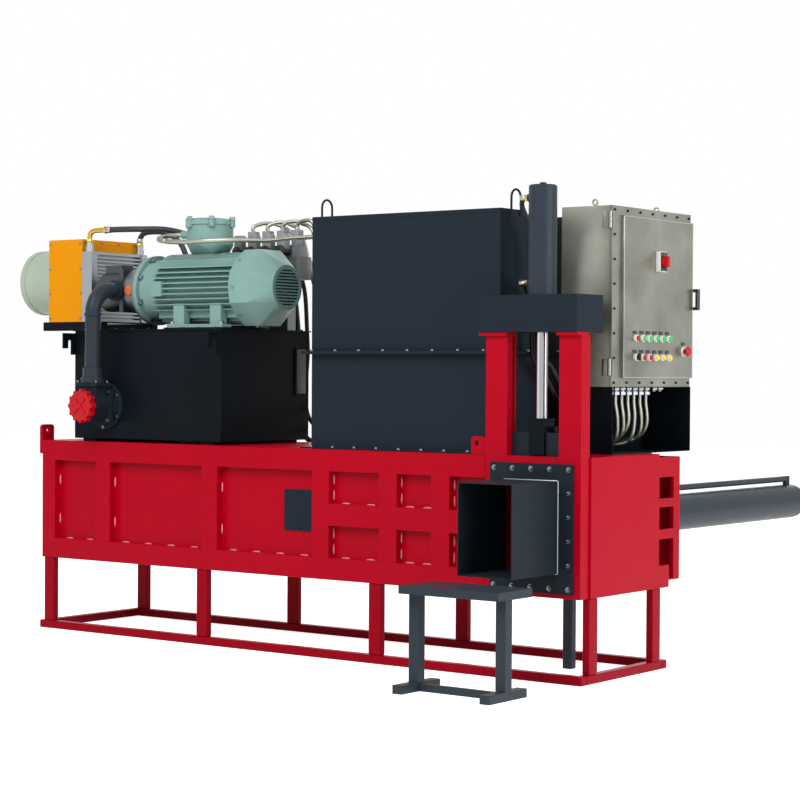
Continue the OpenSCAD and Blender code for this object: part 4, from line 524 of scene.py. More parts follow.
# Nodes whose finish differs from the one that their slot is named for
OWN_FINISH = {"hydraulic_pump": "pump_iron", "base_frame": "red_tube"}
OWN_FINISH.update(dict.fromkeys(
    ("bag_bench", "gate_cylinder", "suction_pipe", "ejector_cylinder", "centre_prop"), "rail_paint"))


def finish_of(node):
    return MATERIALS[OWN_FINISH.get(node, SLOT_OF[node])]


def eased(node, edge, segments):
    """A copy of one solid, merged and with its edges eased, that stands for it."""
    obj = copied(NODES[node])
    obj.parent = None
    for key in list(obj.keys()):
        del obj[key]
    edit_all(obj)
    bpy.ops.mesh.remove_doubles(threshold=0.00004)
    bpy.ops.mesh.dissolve_limited(angle_limit=math.radians(1.0))
    bpy.ops.object.mode_set(mode="OBJECT")
    bpy.ops.mesh.customdata_custom_splitnormals_clear()
    apply_modifier(
        obj, "BEVEL", width=edge, segments=segments, limit_method="ANGLE",
        angle_limit=math.radians(40), use_clamp_overlap=True, harden_normals=False)
    smooth(obj, 38)
    apply_modifier(obj, "WEIGHTED_NORMAL", mode="FACE_AREA", weight=100, keep_sharp=True)
    finish_piece(obj, node + "_skin", finish_of(node), BODY_OF[node])
    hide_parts(node)


class PRESS_OT_finishes(bpy.types.Operator):
    """Give every solid its finish and the welded and cast ones eased edges"""
    bl_idname = "press.finishes"
    bl_label = "Finishes"

    def execute(self, context):
        make_materials()
        for name, node in NODES.items():
            node.data.materials.clear()
            node.data.materials.append(finish_of(name))
        steps = (
            (TUBE_NODES, sizes().tube_edge, 3), (PLATE_NODES, sizes().plate_edge, 2),
            (SHEET_NODES, sizes().sheet_edge, 2), (CAST_NODES, sizes().plate_edge * 1.3, 2))
        for names, edge, segments in steps:
            for node in names:
                eased(node, edge, segments)
        return {"FINISHED"}


# Bolts, screws and welds, in the machine's millimetres

# Thickness of the chute's flange, and how far in from its edge the bolts sit
CHUTE_FLANGE, CHUTE_INSET = 12, 26
# Thickness of the hopper's flanges, and how far in from the edge their bolts sit
HOPPER_FLANGE, HOPPER_INSET = 8, 20
# Ends of the hopper's bolt rows: from its corners, the portal, its front and its rear
CORNER_GAP, PORTAL_GAP, FRONT_GAP, REAR_GAP = 60, 50, 120, 100
# Left side of the portal, and how far from it the lower and the upper flange end
PORTAL_LEFT, LOWER_END, UPPER_END = -567, 100, 6
# How far in from the inspection cover's ends its screws sit
COVER_INSET = 14
# Top of the tank's lid, and how far in from its edge and from the tank's ends its screws sit
LID_TOP, LID_INSET, LID_ENDS = 1743, 16, (80, 60)
# Height of the channel's middle, and circle and depth of the ejector's flange bolts
CHANNEL_Z, EJECTOR_CIRCLE, EJECTOR_FLANGE = 757.5, 111, 30
# Right edge and width of each recessed panel, and whether it is split in two rows
PANELS = [
    (-567, 217, True), (-899, 217, True), (-1231, 330, True), (-1676, 669, False), (-2460, 702, False),
    (-3277, 330, False)]
PANEL_ROWS = {True: [(530, 699), (816, 985)], False: [(530, 985)]}
# Depth of the panels, and depth of the body over both walls
PANEL_DEPTH, BODY_DEPTH = 45, 840
# Distance between the stitches, and on the rear wall the end of the upright ones
STITCH_STEP, REAR_STITCH_END = 165, -570
# Outer faces of the chute, left, right, low and high
CHUTE_EDGES = (-445, -132, 536, 985)
# Welded corners of the oil tank, left, right, front, rear, low and high
TANK_EDGES = (-3502, -2375, 63, 817, 1119, 1733)


def chute_bolts():
    """All round the flange of the chute."""
    low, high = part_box("chute")
    inset = CHUTE_INSET * MM
    face = ZERO.y - CHUTE_FLANGE * MM
    xs = row(low.x + inset, high.x - inset, 5)
    zs = row(low.z + inset, high.z - inset, 6)
    points = [(x, z) for x in xs for z in (zs[0], zs[-1])]
    points += [(x, z) for x in (xs[0], xs[-1]) for z in zs[1:-1]]
    return [(Vector((x, face, z)), FRONT) for x, z in points]


def hopper_bolts(node, front_end):
    """Round one flange of the hopper: front up to the portal, rear and both sides."""
    low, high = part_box("upper_hopper")
    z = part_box(node)[0].z + HOPPER_FLANGE * MM
    inset, corner = HOPPER_INSET * MM, CORNER_GAP * MM
    front_x1 = spot(PORTAL_LEFT - front_end - PORTAL_GAP, 0, 0).x
    spots = [(Vector((x, low.y + inset, z)), UP) for x in row(low.x + corner, front_x1, 8)]
    spots += [(Vector((x, high.y - inset, z)), UP) for x in row(low.x + corner, high.x - corner, 8)]
    for x in (low.x + inset, high.x - inset):
        ys = row(low.y + FRONT_GAP * MM, high.y - REAR_GAP * MM, 5)
        spots += [(Vector((x, y, z)), UP) for y in ys]
    return spots


class PRESS_OT_fasteners(bpy.types.Operator):
    """Bolt chute, hopper, cover, tank lid and ejector"""
    bl_idname = "press.fasteners"
    bl_label = "Body fasteners"

    def execute(self, context):
        bolt = hex_head(sizes().bolt * 0.7, sizes().bolt * 0.42)
        screw = hex_head(sizes().screw * 1.1, sizes().screw * 0.5)
        small = round_head(sizes().screw * 0.9, sizes().screw * 0.35)
        dark = MATERIALS["black_bolt"]
        finish_piece(set_out(bolt, chute_bolts()), "chute_bolts", MATERIALS["steel"])
        hopper = hopper_bolts("lower_hopper", LOWER_END) + hopper_bolts("upper_hopper", UPPER_END)
        finish_piece(set_out(screw, hopper), "hopper_bolts", MATERIALS["zinc"])
        low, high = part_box("inspection_cover")
        middle = (low.x + high.x) / 2
        cover = [(Vector((middle, low.y, z)), FRONT)
                 for z in (low.z + COVER_INSET * MM, high.z - COVER_INSET * MM)]
        finish_piece(set_out(small, cover), "cover_screws", dark)
        low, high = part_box("tank_lid")
        tank_low, tank_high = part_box("oil_tank")
        top = spot(0, 0, LID_TOP).z
        xs = row(tank_low.x + LID_ENDS[0] * MM, tank_high.x - LID_ENDS[1] * MM, 9)
        lid = [(Vector((x, y, top)), UP) for x in xs
               for y in (low.y + LID_INSET * MM, high.y - LID_INSET * MM)]
        finish_piece(set_out(screw, lid), "lid_screws", dark)
        low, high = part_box("ejector_cylinder")
        centre = Vector(((low.x + high.x) / 2, low.y + EJECTOR_FLANGE * MM, spot(0, 0, CHANNEL_Z).z))
        flange = ring(centre, EJECTOR_CIRCLE * MM, RIGHT, UP, 15, 345, 12, REAR)
        finish_piece(set_out(screw, flange), "ejector_flange_bolts", dark)
        discard(bolt, screw, small)
        return {"FINISHED"}


def weld_bead(run, width):
    """A short weld stitch along x: an even bead with one swell, its ends rounded."""
    deselect()
    bpy.ops.mesh.primitive_cylinder_add(
        vertices=8, radius=width / 2, depth=run, end_fill_type="TRIFAN", rotation=(0, math.pi / 2, 0))
    obj = bpy.context.object
    apply_place(obj)
    edit_all(obj)
    bpy.ops.mesh.bisect(plane_co=(-run / 4, 0, 0), plane_no=(1, 0, 0))
    bpy.ops.mesh.select_all(action="SELECT")
    bpy.ops.mesh.bisect(plane_co=(run / 4, 0, 0), plane_no=(1, 0, 0))
    bpy.ops.object.mode_set(mode="OBJECT")
    for vertex in obj.data.vertices:
        end = abs(vertex.co.x) / (run / 2)
        swell = 0.45 if end > 0.9 else 1.12 if vertex.co.x > 0 else 1.0
        vertex.co.y *= swell
        vertex.co.z *= swell
    smooth(obj, 60)
    return obj


def panel_stitches(wall_y):
    """Places of the weld stitches along the bottom and the sides of each panel."""
    flat, upright = [], []
    for right, width, split in PANELS:
        count = max(2, round(width / STITCH_STEP))
        xs = [right - width * (k + 0.5) / count for k in range(count)]
        for low, high in PANEL_ROWS[split]:
            flat += [spot(x, wall_y, low) for x in xs]
            upright += [spot(x, wall_y, low + (high - low) * part)
                        for x in (right - width, right) for part in (0.25, 0.75)]
    return flat, upright


def seam(start, direction, run, vertices):
    """A thin weld seam from start along direction."""
    thin = sizes().weld * 0.4
    return drum(thin, start, direction, run * MM, thin * 0.4, vertices)


class PRESS_OT_welds(bpy.types.Operator):
    """Weld stitches in the recessed panels, and the seams of chute and tank"""
    bl_idname = "press.welds"
    bl_label = "Welds"

    def execute(self, context):
        bead = weld_bead(sizes().stitch, sizes().weld)
        standing = copied(bead)
        standing.data.transform(Matrix.Rotation(math.pi / 2, 4, "Y"))
        front, rear = panel_stitches(PANEL_DEPTH), panel_stitches(BODY_DEPTH - PANEL_DEPTH)
        rear_end = spot(REAR_STITCH_END, 0, 0).x
        rear = (rear[0], [place for place in rear[1] if place.x < rear_end])
        for name, (flat, upright) in (("front_welds", front), ("rear_welds", rear)):
            stitches = [set_out(bead, [(place, UP) for place in flat]),
                        set_out(standing, [(place, UP) for place in upright])]
            # The stitches take the pale red enamel, whose colour is a painted highlight along the beads
            finish_piece(joined(stitches), name, MATERIALS["red_weld"])
        discard(bead, standing)
        left, right, low, high = CHUTE_EDGES
        seams = [seam(spot(x, -CHUTE_FLANGE, low), UP, high - low, 10) for x in (left, right)]
        seams += [seam(spot(left, -CHUTE_FLANGE, z), RIGHT, right - left, 10) for z in (low, high)]
        # The chute's seams are pale grey, a painted highlight along the flange
        finish_piece(joined(seams), "chute_weld", MATERIALS["weld_metal"])
        left, right, front, rear, low, high = TANK_EDGES
        seams = [seam(spot(x, y, low), UP, high - low, 12) for x in (left, right) for y in (front, rear)]
        seams += [seam(spot(x, front, low), REAR, rear - front, 12) for x in (left, right)]
        seams += [seam(spot(left, y, low), RIGHT, right - left, 12) for y in (front, rear)]
        slot = SLOT_OF["oil_tank"]
        finish_piece(joined(seams), "tank_seams", MATERIALS[slot])
        return {"FINISHED"}


# Cabinet fittings, in the machine's millimetres

# Outside of the door's raised panel and of its flange
DOOR_FACE, FLANGE_FACE = -100, -116
# The door, left, right, low and high, and how far in from its edge the bolts sit
DOOR_EDGES = (453, 1254, 1440, 2350)
DOOR_INSET = 21
# Raised panel of the door, left, right, low and high, and the width of its folded hem
PANEL_EDGES = (546, 1251, 1488, 2302)
HEM = 7
# Low and high end of each hinge, left and right edge of its leaf on the door and the leaf's thickness
HINGES = ((1497, 1581), (2236, 2320))
LEAF_EDGES, LEAF_THICK = (453.5, 473), 4
# The hinge's leaf on the side of the cabinet: rear and front edge, and its outer and inner face
SEAT_EDGES, SEAT_FACES = (-172, -134), (448.5, 453.3)
# Outer and inner radius and depth of a button's bezel and of the stop's collar
BEZEL = (18.0, 14.6, 18.5)
STOP_COLLAR = (26, 17.2, 11.5)
# Half width, low and high edge of a legend plate from the middle of its button, and the stop's extra height
LEGEND, STOP_LEGEND = (19, 22, 38), 10
# The main switch: depth of its housing, half width and height of housing and frame, and its bore
SWITCH_BOX, SWITCH_HOUSING, SWITCH_FRAME, SWITCH_BORE = 26, (34.5, 52.5), (31.5, 48.5), 26.7
# The handle: side of the door, low and high end, thickness, reach of its feet, and its bar
HANDLE_SIDE, HANDLE_LOW, HANDLE_HIGH, HANDLE_THICK = 1253, 1845, 1958, 18
HANDLE_REACH, BAR_REACH, BAR_WIDTH = (-127, -69.5), (-87, -69), 26
# Head of a door bolt, and nut of a gland: width and height
DOOR_BOLT, GLAND_NUT = (13, 5), (44, 14)
# The glands: distance to the outlet end, places along the cabinet, blank ones, and height of the two nuts
GLAND_X = -272.5
GLANDS = [627 + 62 * k for k in range(8)]
BLANK_GLANDS = [GLANDS[-1] + extra for extra in (80, 142)]
NUT_HEIGHTS = (1440, 1414)


def middle_of(node):
    """Middle of a solid's box, in the machine's millimetres."""
    low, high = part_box(node)
    return ((low + high) / 2 - ZERO) / MM


class PRESS_OT_controls(bpy.types.Operator):
    """Bezels, bare legend plates, main switch and stop collar on the cabinet's door"""
    bl_idname = "press.controls"
    bl_label = "Door controls"

    def execute(self, context):
        edge, white, black = sizes().sheet_edge, MATERIALS["white_plastic"], MATERIALS["black_plastic"]
        controls = [middle_of("button_%d" % k) for k in range(1, 12)]
        controls.append(Vector((0, middle_of("selector_switch").y, middle_of("button_7").z)))
        stop, switch = middle_of("emergency_stop"), middle_of("main_switch")
        outer, inner, depth = (size * MM for size in BEZEL)
        bezel = sleeve(outer, inner, (0, 0, 0), UP, depth, 1.6 * MM, 24)
        rings = [(spot(DOOR_FACE + 1, c.y, c.z), RIGHT) for c in controls]
        finish_piece(set_out(bezel, rings), "bezels", white, "door")
        discard(bezel)
        half, low, high = LEGEND
        plates = [
            block(spot(DOOR_FACE, c.y - half, c.z + low), spot(DOOR_FACE + 3, c.y + half, c.z + high), edge)
            for c in controls + [stop + Vector((0, 0, STOP_LEGEND))]]
        finish_piece(joined(plates), "legend_plates", black, "door")
        box_face = DOOR_FACE + SWITCH_BOX
        (wide, tall), (y, z) = SWITCH_HOUSING, switch.yz
        housing = block(
            spot(DOOR_FACE, y - wide, z - tall), spot(box_face + 0.4, y + wide, z + tall), 2.5 * MM, 3)
        finish_piece(housing, "switch_housing", white, "door")
        wide, tall = SWITCH_FRAME
        surround = block(spot(box_face, y - wide, z - tall), spot(box_face + 4, y + wide, z + tall), 1.5 * MM)
        cut_away(surround, drum(SWITCH_BORE * MM, spot(box_face - 5, y, z), RIGHT, 20 * MM, 0.5 * MM))
        finish_piece(surround, "switch_frame", black, "door")
        outer, inner, depth = (size * MM for size in STOP_COLLAR)
        collar = sleeve(outer, inner, spot(DOOR_FACE, stop.y, stop.z), RIGHT, depth, 2 * MM)
        finish_piece(collar, "stop_collar", white, "door")
        return {"FINISHED"}


class PRESS_OT_cabinet(bpy.types.Operator):
    """Hinges, hems, bolts and handle of the cabinet's door, and the gland nuts under the cabinet"""
    bl_idname = "press.cabinet"
    bl_label = "Cabinet fittings"

    def execute(self, context):
        edge, stainless = sizes().sheet_edge, MATERIALS["stainless"]
        left, right = LEAF_EDGES
        leaves = [block(spot(FLANGE_FACE, left, low), spot(FLANGE_FACE + LEAF_THICK, right, high), edge)
                  for low, high in HINGES]
        finish_piece(joined(leaves), "hinge_leaves", stainless, "door")
        (deep, near), (outer, inner) = SEAT_EDGES, SEAT_FACES
        leaves = [block(spot(deep, outer, low), spot(near, inner, high), edge) for low, high in HINGES]
        finish_piece(joined(leaves), "hinge_seats", stainless)
        hem, hem_x = HEM / 2 * MM, DOOR_FACE - 3
        left, right, low, high = PANEL_EDGES
        hems = [drum(hem, spot(hem_x, y, low), UP, (high - low) * MM, hem * 0.4, 12) for y in (left, right)]
        hems += [drum(hem, spot(hem_x, left, z), REAR, (right - left) * MM, hem * 0.4, 12)
                 for z in (low, high)]
        finish_piece(joined(hems), "door_hems", MATERIALS["chrome"], "door")
        left, right, low, high = DOOR_EDGES
        ys = row(left + DOOR_INSET, right - DOOR_INSET, 7)
        zs = row(low + DOOR_INSET, high - DOOR_INSET, 8)
        bolts = [(spot(FLANGE_FACE, y, z), RIGHT) for y in ys for z in (zs[0], zs[-1])]
        bolts += [(spot(FLANGE_FACE, ys[0], z), RIGHT) for z in zs[1:-1]]
        screw = round_head(*(size * MM for size in DOOR_BOLT))
        finish_piece(set_out(screw, bolts), "door_bolts", MATERIALS["black_bolt"], "door")
        side, thick = HANDLE_SIDE, HANDLE_THICK
        inner, outer = HANDLE_REACH
        grip = [block(spot(inner, side, z), spot(outer, side + thick, z + thick), 4 * MM, 3)
                for z in (HANDLE_LOW, HANDLE_HIGH - thick)]
        inner, outer = BAR_REACH
        bar_low, bar_high = spot(inner, side, HANDLE_LOW), spot(outer, side + BAR_WIDTH, HANDLE_HIGH)
        grip.append(block(bar_low, bar_high, 6 * MM, 3))
        finish_piece(joined(grip), "door_handle", MATERIALS["black_plastic"], "door")
        nut = hex_head(*(size * MM for size in GLAND_NUT), 1.15)
        glands = [(spot(GLAND_X, y, z), DOWN) for y in GLANDS for z in NUT_HEIGHTS]
        glands += [(spot(GLAND_X, y, NUT_HEIGHTS[0]), DOWN) for y in BLANK_GLANDS]
        finish_piece(set_out(nut, glands), "gland_nuts", MATERIALS["zinc"])
        discard(screw, nut)
        return {"FINISHED"}


# Power unit fittings, in the machine's millimetres

# Axis of the motor, of the suction filter and of the cooler's duct
MOTOR_Y, MOTOR_Z = 280, 1970
FILTER_X, FILTER_Z = -3253, 1306
DUCT_Y, DUCT_Z = 455, 2042
# Motor flange, its bolt circle, and the feet's bolts along and across
FLANGE_X, FLANGE_CIRCLE = -3040, 178
FEET_XS, FEET_OUT, FEET_TOP = (-2775, -2410), 178, 1769
# Middle and height of the terminal box's ears, and their circle
TERMINAL_X, TERMINAL_TOP, TERMINAL_CIRCLE = -2654, 2360, 138
# Screws round the fan hood, and faces, reach, pitch and width of its grille bars
HOOD_X, HOOD_RADIUS = -2300, 210
GRILLE_FACES, GRILLE_REACH, GRILLE_PITCH, GRILLE_BAR = (-2101, -2095.5), 100, 17, 5
# Guard plug of the bell housing: place, radius and depth
BELL_PLUG, BELL_PLUG_RADIUS, BELL_PLUG_DEPTH = (-3151, MOTOR_Y - 137, MOTOR_Z), 30, 12
# Bolts of the suction filter: half square and face of the collar, circle and face of the flange
COLLAR_HALF, COLLAR_FACE = 80, -2
FILTER_CIRCLE, FILTER_FACE = 122, 45
# Bolts of its upper port: half width and depth of the square, its middle and its height
PORT_WIDE, PORT_DEEP, PORT_Y, PORT_Z = 72, 44, -48, 1439
# Screws of the cooler: columns and face of the shroud's front, row on its side, and circle of the duct
SHROUD_XS, SHROUD_FRONT, SHROUD_ZS = (-3880, -3627), 220, (1820, 2260)
SHROUD_SIDE, SHROUD_YS, SHROUD_TOP = -3613.8, (240, 670), 2268
DUCT_X, DUCT_RADIUS = -3906, 192.5
# Valves: their places, half width of a plug, and front, rear, low and high face of the two plugs
VALVE_XS = [-2692 + 110 * k for k in range(4)]
PLUG_HALF = 26
VALVE_PLUGS = ((554, 606, 2199, 2291), (674, 726, 2230, 2321))
# Coil of a valve: radius, rear end, height and length
COIL_RADIUS, COIL_REAR, COIL_Z, COIL_LENGTH = 27.5, 611, 2199, 73
# Two corners of the level window on the tank
LEVEL_WINDOW = (-2362.5, 700, 1382), (-2360, 780, 1635)


def motor_bolts():
    """Bolts of the motor's flange, terminal box and feet."""
    spots = ring(spot(FLANGE_X, MOTOR_Y, MOTOR_Z), FLANGE_CIRCLE * MM, REAR, UP, 22.5, 337.5, 8, RIGHT)
    spots += ring(spot(TERMINAL_X, MOTOR_Y, TERMINAL_TOP), TERMINAL_CIRCLE * MM, RIGHT, REAR, 15, 315, 6, UP)
    spots += [(spot(x, MOTOR_Y + out, FEET_TOP), UP) for x in FEET_XS for out in (-FEET_OUT, FEET_OUT)]
    return spots


def filter_bolts():
    """Bolts of the suction filter's cap collar, flange and upper port."""
    signs = [(a, b) for a in (-1, 1) for b in (-1, 1)]
    spots = [(spot(FILTER_X + a * COLLAR_HALF, COLLAR_FACE, FILTER_Z + b * COLLAR_HALF), FRONT)
             for a, b in signs]
    spots += ring(spot(FILTER_X, FILTER_FACE, FILTER_Z), FILTER_CIRCLE * MM, RIGHT, UP, 30, 330, 6, FRONT)
    return spots + [(spot(FILTER_X + a * PORT_WIDE, PORT_Y + b * PORT_DEEP, PORT_Z), UP) for a, b in signs]


def cooler_screws():
    """Screws of the yellow shroud's front and side, and round the duct."""
    spots = [(spot(x, SHROUD_FRONT, z), FRONT) for x in SHROUD_XS for z in row(*SHROUD_ZS, 4)]
    spots += [(spot(SHROUD_SIDE, y, SHROUD_TOP), RIGHT) for y in row(*SHROUD_YS, 4)]
    return spots + ring(spot(DUCT_X, DUCT_Y, DUCT_Z), DUCT_RADIUS * MM, REAR, UP, 0, 315, 8)


class PRESS_OT_power_unit(bpy.types.Operator):
    """Bolts, screws, grille and plugs of motor, bell housing, filter, cooler and valves"""
    bl_idname = "press.power_unit"
    bl_label = "Power unit fittings"

    def execute(self, context):
        zinc, black = MATERIALS["zinc"], MATERIALS["black_plastic"]
        bolt = hex_head(sizes().bolt * 1.1, sizes().bolt * 0.6)
        small = hex_head(sizes().bolt * 0.7, sizes().bolt * 0.4, 1.3)
        screw = round_head(sizes().screw, sizes().screw * 0.5)
        finish_piece(set_out(bolt, motor_bolts()), "motor_bolts", zinc)
        hood = ring(spot(HOOD_X, MOTOR_Y, MOTOR_Z), HOOD_RADIUS * MM, REAR, UP, 0, 315, 8)
        finish_piece(set_out(screw, hood), "hood_screws", zinc)
        plug = drum(BELL_PLUG_RADIUS * MM, spot(*BELL_PLUG), FRONT, BELL_PLUG_DEPTH * MM, 3 * MM)
        finish_piece(plug, "bell_plug", MATERIALS["orange_plastic"])
        finish_piece(set_out(small, filter_bolts()), "filter_bolts", MATERIALS["steel"])
        bars, (inner, outer) = [], GRILLE_FACES
        for k in range(-5, 6):
            y, reach = MOTOR_Y + GRILLE_PITCH * k, math.sqrt(GRILLE_REACH ** 2 - (GRILLE_PITCH * k) ** 2)
            bars.append(block(spot(inner, y - GRILLE_BAR / 2, MOTOR_Z - reach),
                              spot(outer, y + GRILLE_BAR / 2, MOTOR_Z + reach), 1 * MM))
        finish_piece(joined(bars), "hood_mesh", MATERIALS["motor_paint"])
        finish_piece(set_out(screw, cooler_screws()), "cooler_screws", zinc)
        caps = [block(spot(x - PLUG_HALF, front, low), spot(x + PLUG_HALF, rear, high), 5 * MM)
                for x in VALVE_XS for front, rear, low, high in VALVE_PLUGS]
        finish_piece(joined(caps), "valve_plugs", MATERIALS["grey_plastic"])
        coils = [drum(COIL_RADIUS * MM, spot(x, COIL_REAR, COIL_Z), FRONT, COIL_LENGTH * MM, 3 * MM, 24)
                 for x in VALVE_XS]
        finish_piece(joined(coils), "valve_coils", black)
        gauge = block(*(spot(*corner) for corner in LEVEL_WINDOW), 1 * MM)
        finish_piece(gauge, "level_window", black)
        discard(bolt, small, screw)
        return {"FINISHED"}


# Conduits and hoses: diameter and route of each, in the machine's millimetres

MOTOR_CONDUIT = 30, [
    (-2827, 240, 2281), (-2865, 240, 2281), (-2904, 174, 2271), (-2880, 100, 2251),
    (-2790, 72, 2235), (-2650, 66, 2227), (-2500, 90, 2231), (-2363, 180, 2235), (-2283, 330, 2237),
    (-2205, 520, 2261), (-2075, 700, 2255), (-1898, 800, 2110), (-1698, 845, 1960),
    (-1398, 847, 1869), (-940, 847, 1640), (-660, 847, 1450), (-456.5, 847, 1404),
    (-415, 847, 1404)]

CONDUIT = 26
# Rear wall of the cabinet's stand, where the conduits end, and how far they run straight before it
STAND_REAR, STAND_LEAD = -415, -456.5
# Where each valve conduit bends down behind the motor, and the lane that they share behind the hopper
BENDS, LANE_Y = (-178, -88, 30, 60), 845
# How far each conduit under the cabinet drifts along it, and the height of its lower end
DRIFTS, FALLS = (-14, -10, 30, 26, 4, 0, 20, 14), (60, 40, 30, 50, 70, 35, 50, 65)


def valve_conduit(i):
    """From a valve's plug over the motor's rear, down along the hopper and into the cabinet's stand."""
    x, y = VALVE_XS[i], 700 + 32 * (3 - i)
    return CONDUIT, [
        (x, 700, 2319), (x, 700, 2349), (x + 44, (700 + y) / 2, 2371), (x + 110, y, 2361),
        (-2292 + BENDS[i], y, 2299 - 10 * i), (-2280 + 24 * i, y, 2080 - 100 * i),
        (-2048, (y + LANE_Y) / 2, 1950 - 88 * i), (-1788, LANE_Y, 1830 - 65 * i),
        (-1448, LANE_Y, 1719 - 40 * i), (-960, LANE_Y, 1529 - 30 * i), (-660, LANE_Y, 1386 - 30 * i),
        (STAND_LEAD, LANE_Y, 1356 - 30 * i), (STAND_REAR, LANE_Y, 1356 - 30 * i)]


def cabinet_conduit(y, drift, fall):
    """From a gland down into the stand, and back through its rear wall."""
    z = 1100 + fall
    return CONDUIT, [
        (GLAND_X, y, 1400), (GLAND_X, y, 1351.6), (-266.5, y + drift / 3, 1280.2),
        (-278.5, y + drift * 0.8, z + 60), (-312.5, y + drift - 8, z + 14), (-365, y + drift - 40, z),
        (-411, y + drift - 40, z)]


HARNESS = [MOTOR_CONDUIT, *map(valve_conduit, range(4)), *map(cabinet_conduit, GLANDS, DRIFTS, FALLS)]

# Brass elbow on the front port of the cooler: diameter, radius of its nut, and route
ELBOW_SIZE, ELBOW_NUT = 30, 23
ELBOW = [(-3574, 244, 2262), (-3574, 244, 2296), (-3564, 244, 2320), (-3534, 246, 2332), (-3464, 252, 2334)]

HOSES = [
    (26, [(-373, 80, 1950), (-397, 80, 1950), (-443, 120, 1964), (-473.5, 215, 1938), (-473.5, 265, 1797),
          (-473.5, 285, 1587), (-473.5, 393, 1490), (-473.5, 580, 1300), (-473.5, 780, 1186),
          (-479.5, 846, 1166), (-563.5, 896, 1160), (-1040, 900, 1156), (-1808, 900, 1170),
          (-2392, 886, 1207), (-2420, 870, 1660), (-2430, 856, 1950), (-2432, 812, 2070),
          (-2432, 782, 2080), (-2432, 742, 2080)]),
    (26, [(-373, 80, 2370), (-399, 80, 2370), (-443, 130, 2330), (-439.5, 225, 2180), (-439.5, 265, 1797),
          (-439.5, 285, 1587), (-439.5, 393, 1540), (-439.5, 580, 1350), (-439.5, 780, 1236),
          (-445.5, 846, 1216), (-529.5, 896, 1210), (-1040, 902, 1206), (-1808, 902, 1224),
          (-2312, 886, 1307), (-2340, 870, 1660), (-2350, 856, 1950), (-2352, 812, 2070),
          (-2352, 782, 2080), (-2352, 742, 2080)]),
    (34, [(-288.5, 1200, 866), (-288.5, 1200, 916), (-328.5, 1200, 962), (-438.5, 1200, 982),
          (-525, 1140, 985), (-559, 1010, 985), (-675, 900, 985), (-1040, 886, 975), (-1828, 886, 985),
          (-2552, 892, 1057), (-2580, 876, 1660), (-2590, 856, 1950), (-2592, 812, 2070),
          (-2592, 782, 2080), (-2592, 742, 2080)]),
    (34, [(-288.5, 1330, 890), (-288.5, 1304, 890), (-328.5, 1250, 950), (-428.5, 1220, 1030),
          (-545, 1136, 1049), (-571, 1020, 1055), (-665, 920, 1051), (-1040, 898, 1045),
          (-1868, 898, 1055), (-2472, 902, 1137), (-2500, 886, 1660), (-2510, 856, 1950),
          (-2512, 812, 2070), (-2512, 782, 2080), (-2512, 742, 2080)]),
    (34, [(-2180, 795, 757.5), (-2180, 855, 757.5), (-2210, 912, 797.5), (-2330, 938, 897.5),
          (-2632, 942, 1047), (-2660, 926, 1660), (-2670, 856, 1950), (-2672, 812, 2070),
          (-2672, 782, 2080), (-2672, 742, 2080)]),
    (34, [(-3560, 795, 757.5), (-3560, 855, 757.5), (-3530, 916, 797.5), (-3360, 920, 907.5),
          (-3100, 912, 1037.5), (-2712, 902, 1287), (-2740, 886, 1660), (-2750, 856, 1950),
          (-2752, 812, 2070), (-2752, 782, 2080), (-2752, 742, 2080)]),
    (34, [(-3464, 252, 2334), (-3244, 304, 2334), (-3093, 430, 2328), (-2963, 576, 2262),
          (-2902, 614, 2133), (-2884, 620, 1943), (-2882, 620, 1793), (-2882, 620, 1743)]),
    (34, [(-3574, 666, 2262), (-3574, 666, 2298), (-3556, 670, 2334), (-3498, 678, 2348),
          (-3374, 688, 2336), (-3254, 692, 2262), (-3198, 694, 2112), (-3190, 694, 1943),
          (-3190, 694, 1793), (-3190, 694, 1743)]),
]

# Steps along hoses and elbow, and length of a nut and a ferrule, in metres
HOSE_STEP, ELBOW_STEP = 0.025, 0.006
HOSE_NUT, FERRULE = 0.016, 0.030


def smooth_path(points, step):
    """Points every step along the smooth curve through the given points."""
    dense = []
    for i in range(len(points) - 1):
        a = points[max(i - 1, 0)]
        b, c = points[i], points[i + 1]
        d = points[min(i + 2, len(points) - 1)]
        for k in range(24):
            t = k / 24
            dense.append(0.5 * (2 * b + (c - a) * t + (2 * a - 5 * b + 4 * c - d) * t * t
                                + (3 * b - a - 3 * c + d) * t ** 3))
    dense.append(points[-1])
    path, run = [dense[0]], 0.0
    for before, after in zip(dense, dense[1:]):
        run += (after - before).length
        if run >= step:
            path.append(after)
            run = 0.0
    if (path[-1] - dense[-1]).length > step * 0.5:
        path.append(dense[-1])
    else:
        path[-1] = dense[-1]
    return path


def swept(route, diameter, step, ribs):
    """A round tube along a route, ribbed where it is a conduit."""
    path = smooth_path([spot(*p) for p in route], step)
    curve = bpy.data.curves.new("route", "CURVE")
    curve.dimensions = "3D"
    curve.bevel_depth = diameter * MM / 2
    curve.bevel_resolution = 2
    curve.use_fill_caps = True
    spline = curve.splines.new("POLY")
    spline.points.add(len(path) - 1)
    for k, (point, place) in enumerate(zip(spline.points, path)):
        point.co = (*place, 1.0)
        point.radius = 1.0 if not ribs or k % 2 else 0.80
    obj = bpy.data.objects.new("route", curve)
    bpy.context.scene.collection.objects.link(obj)
    activate(obj)
    bpy.ops.object.convert(target="MESH")
    obj = bpy.context.object
    smooth(obj, 60)
    return obj


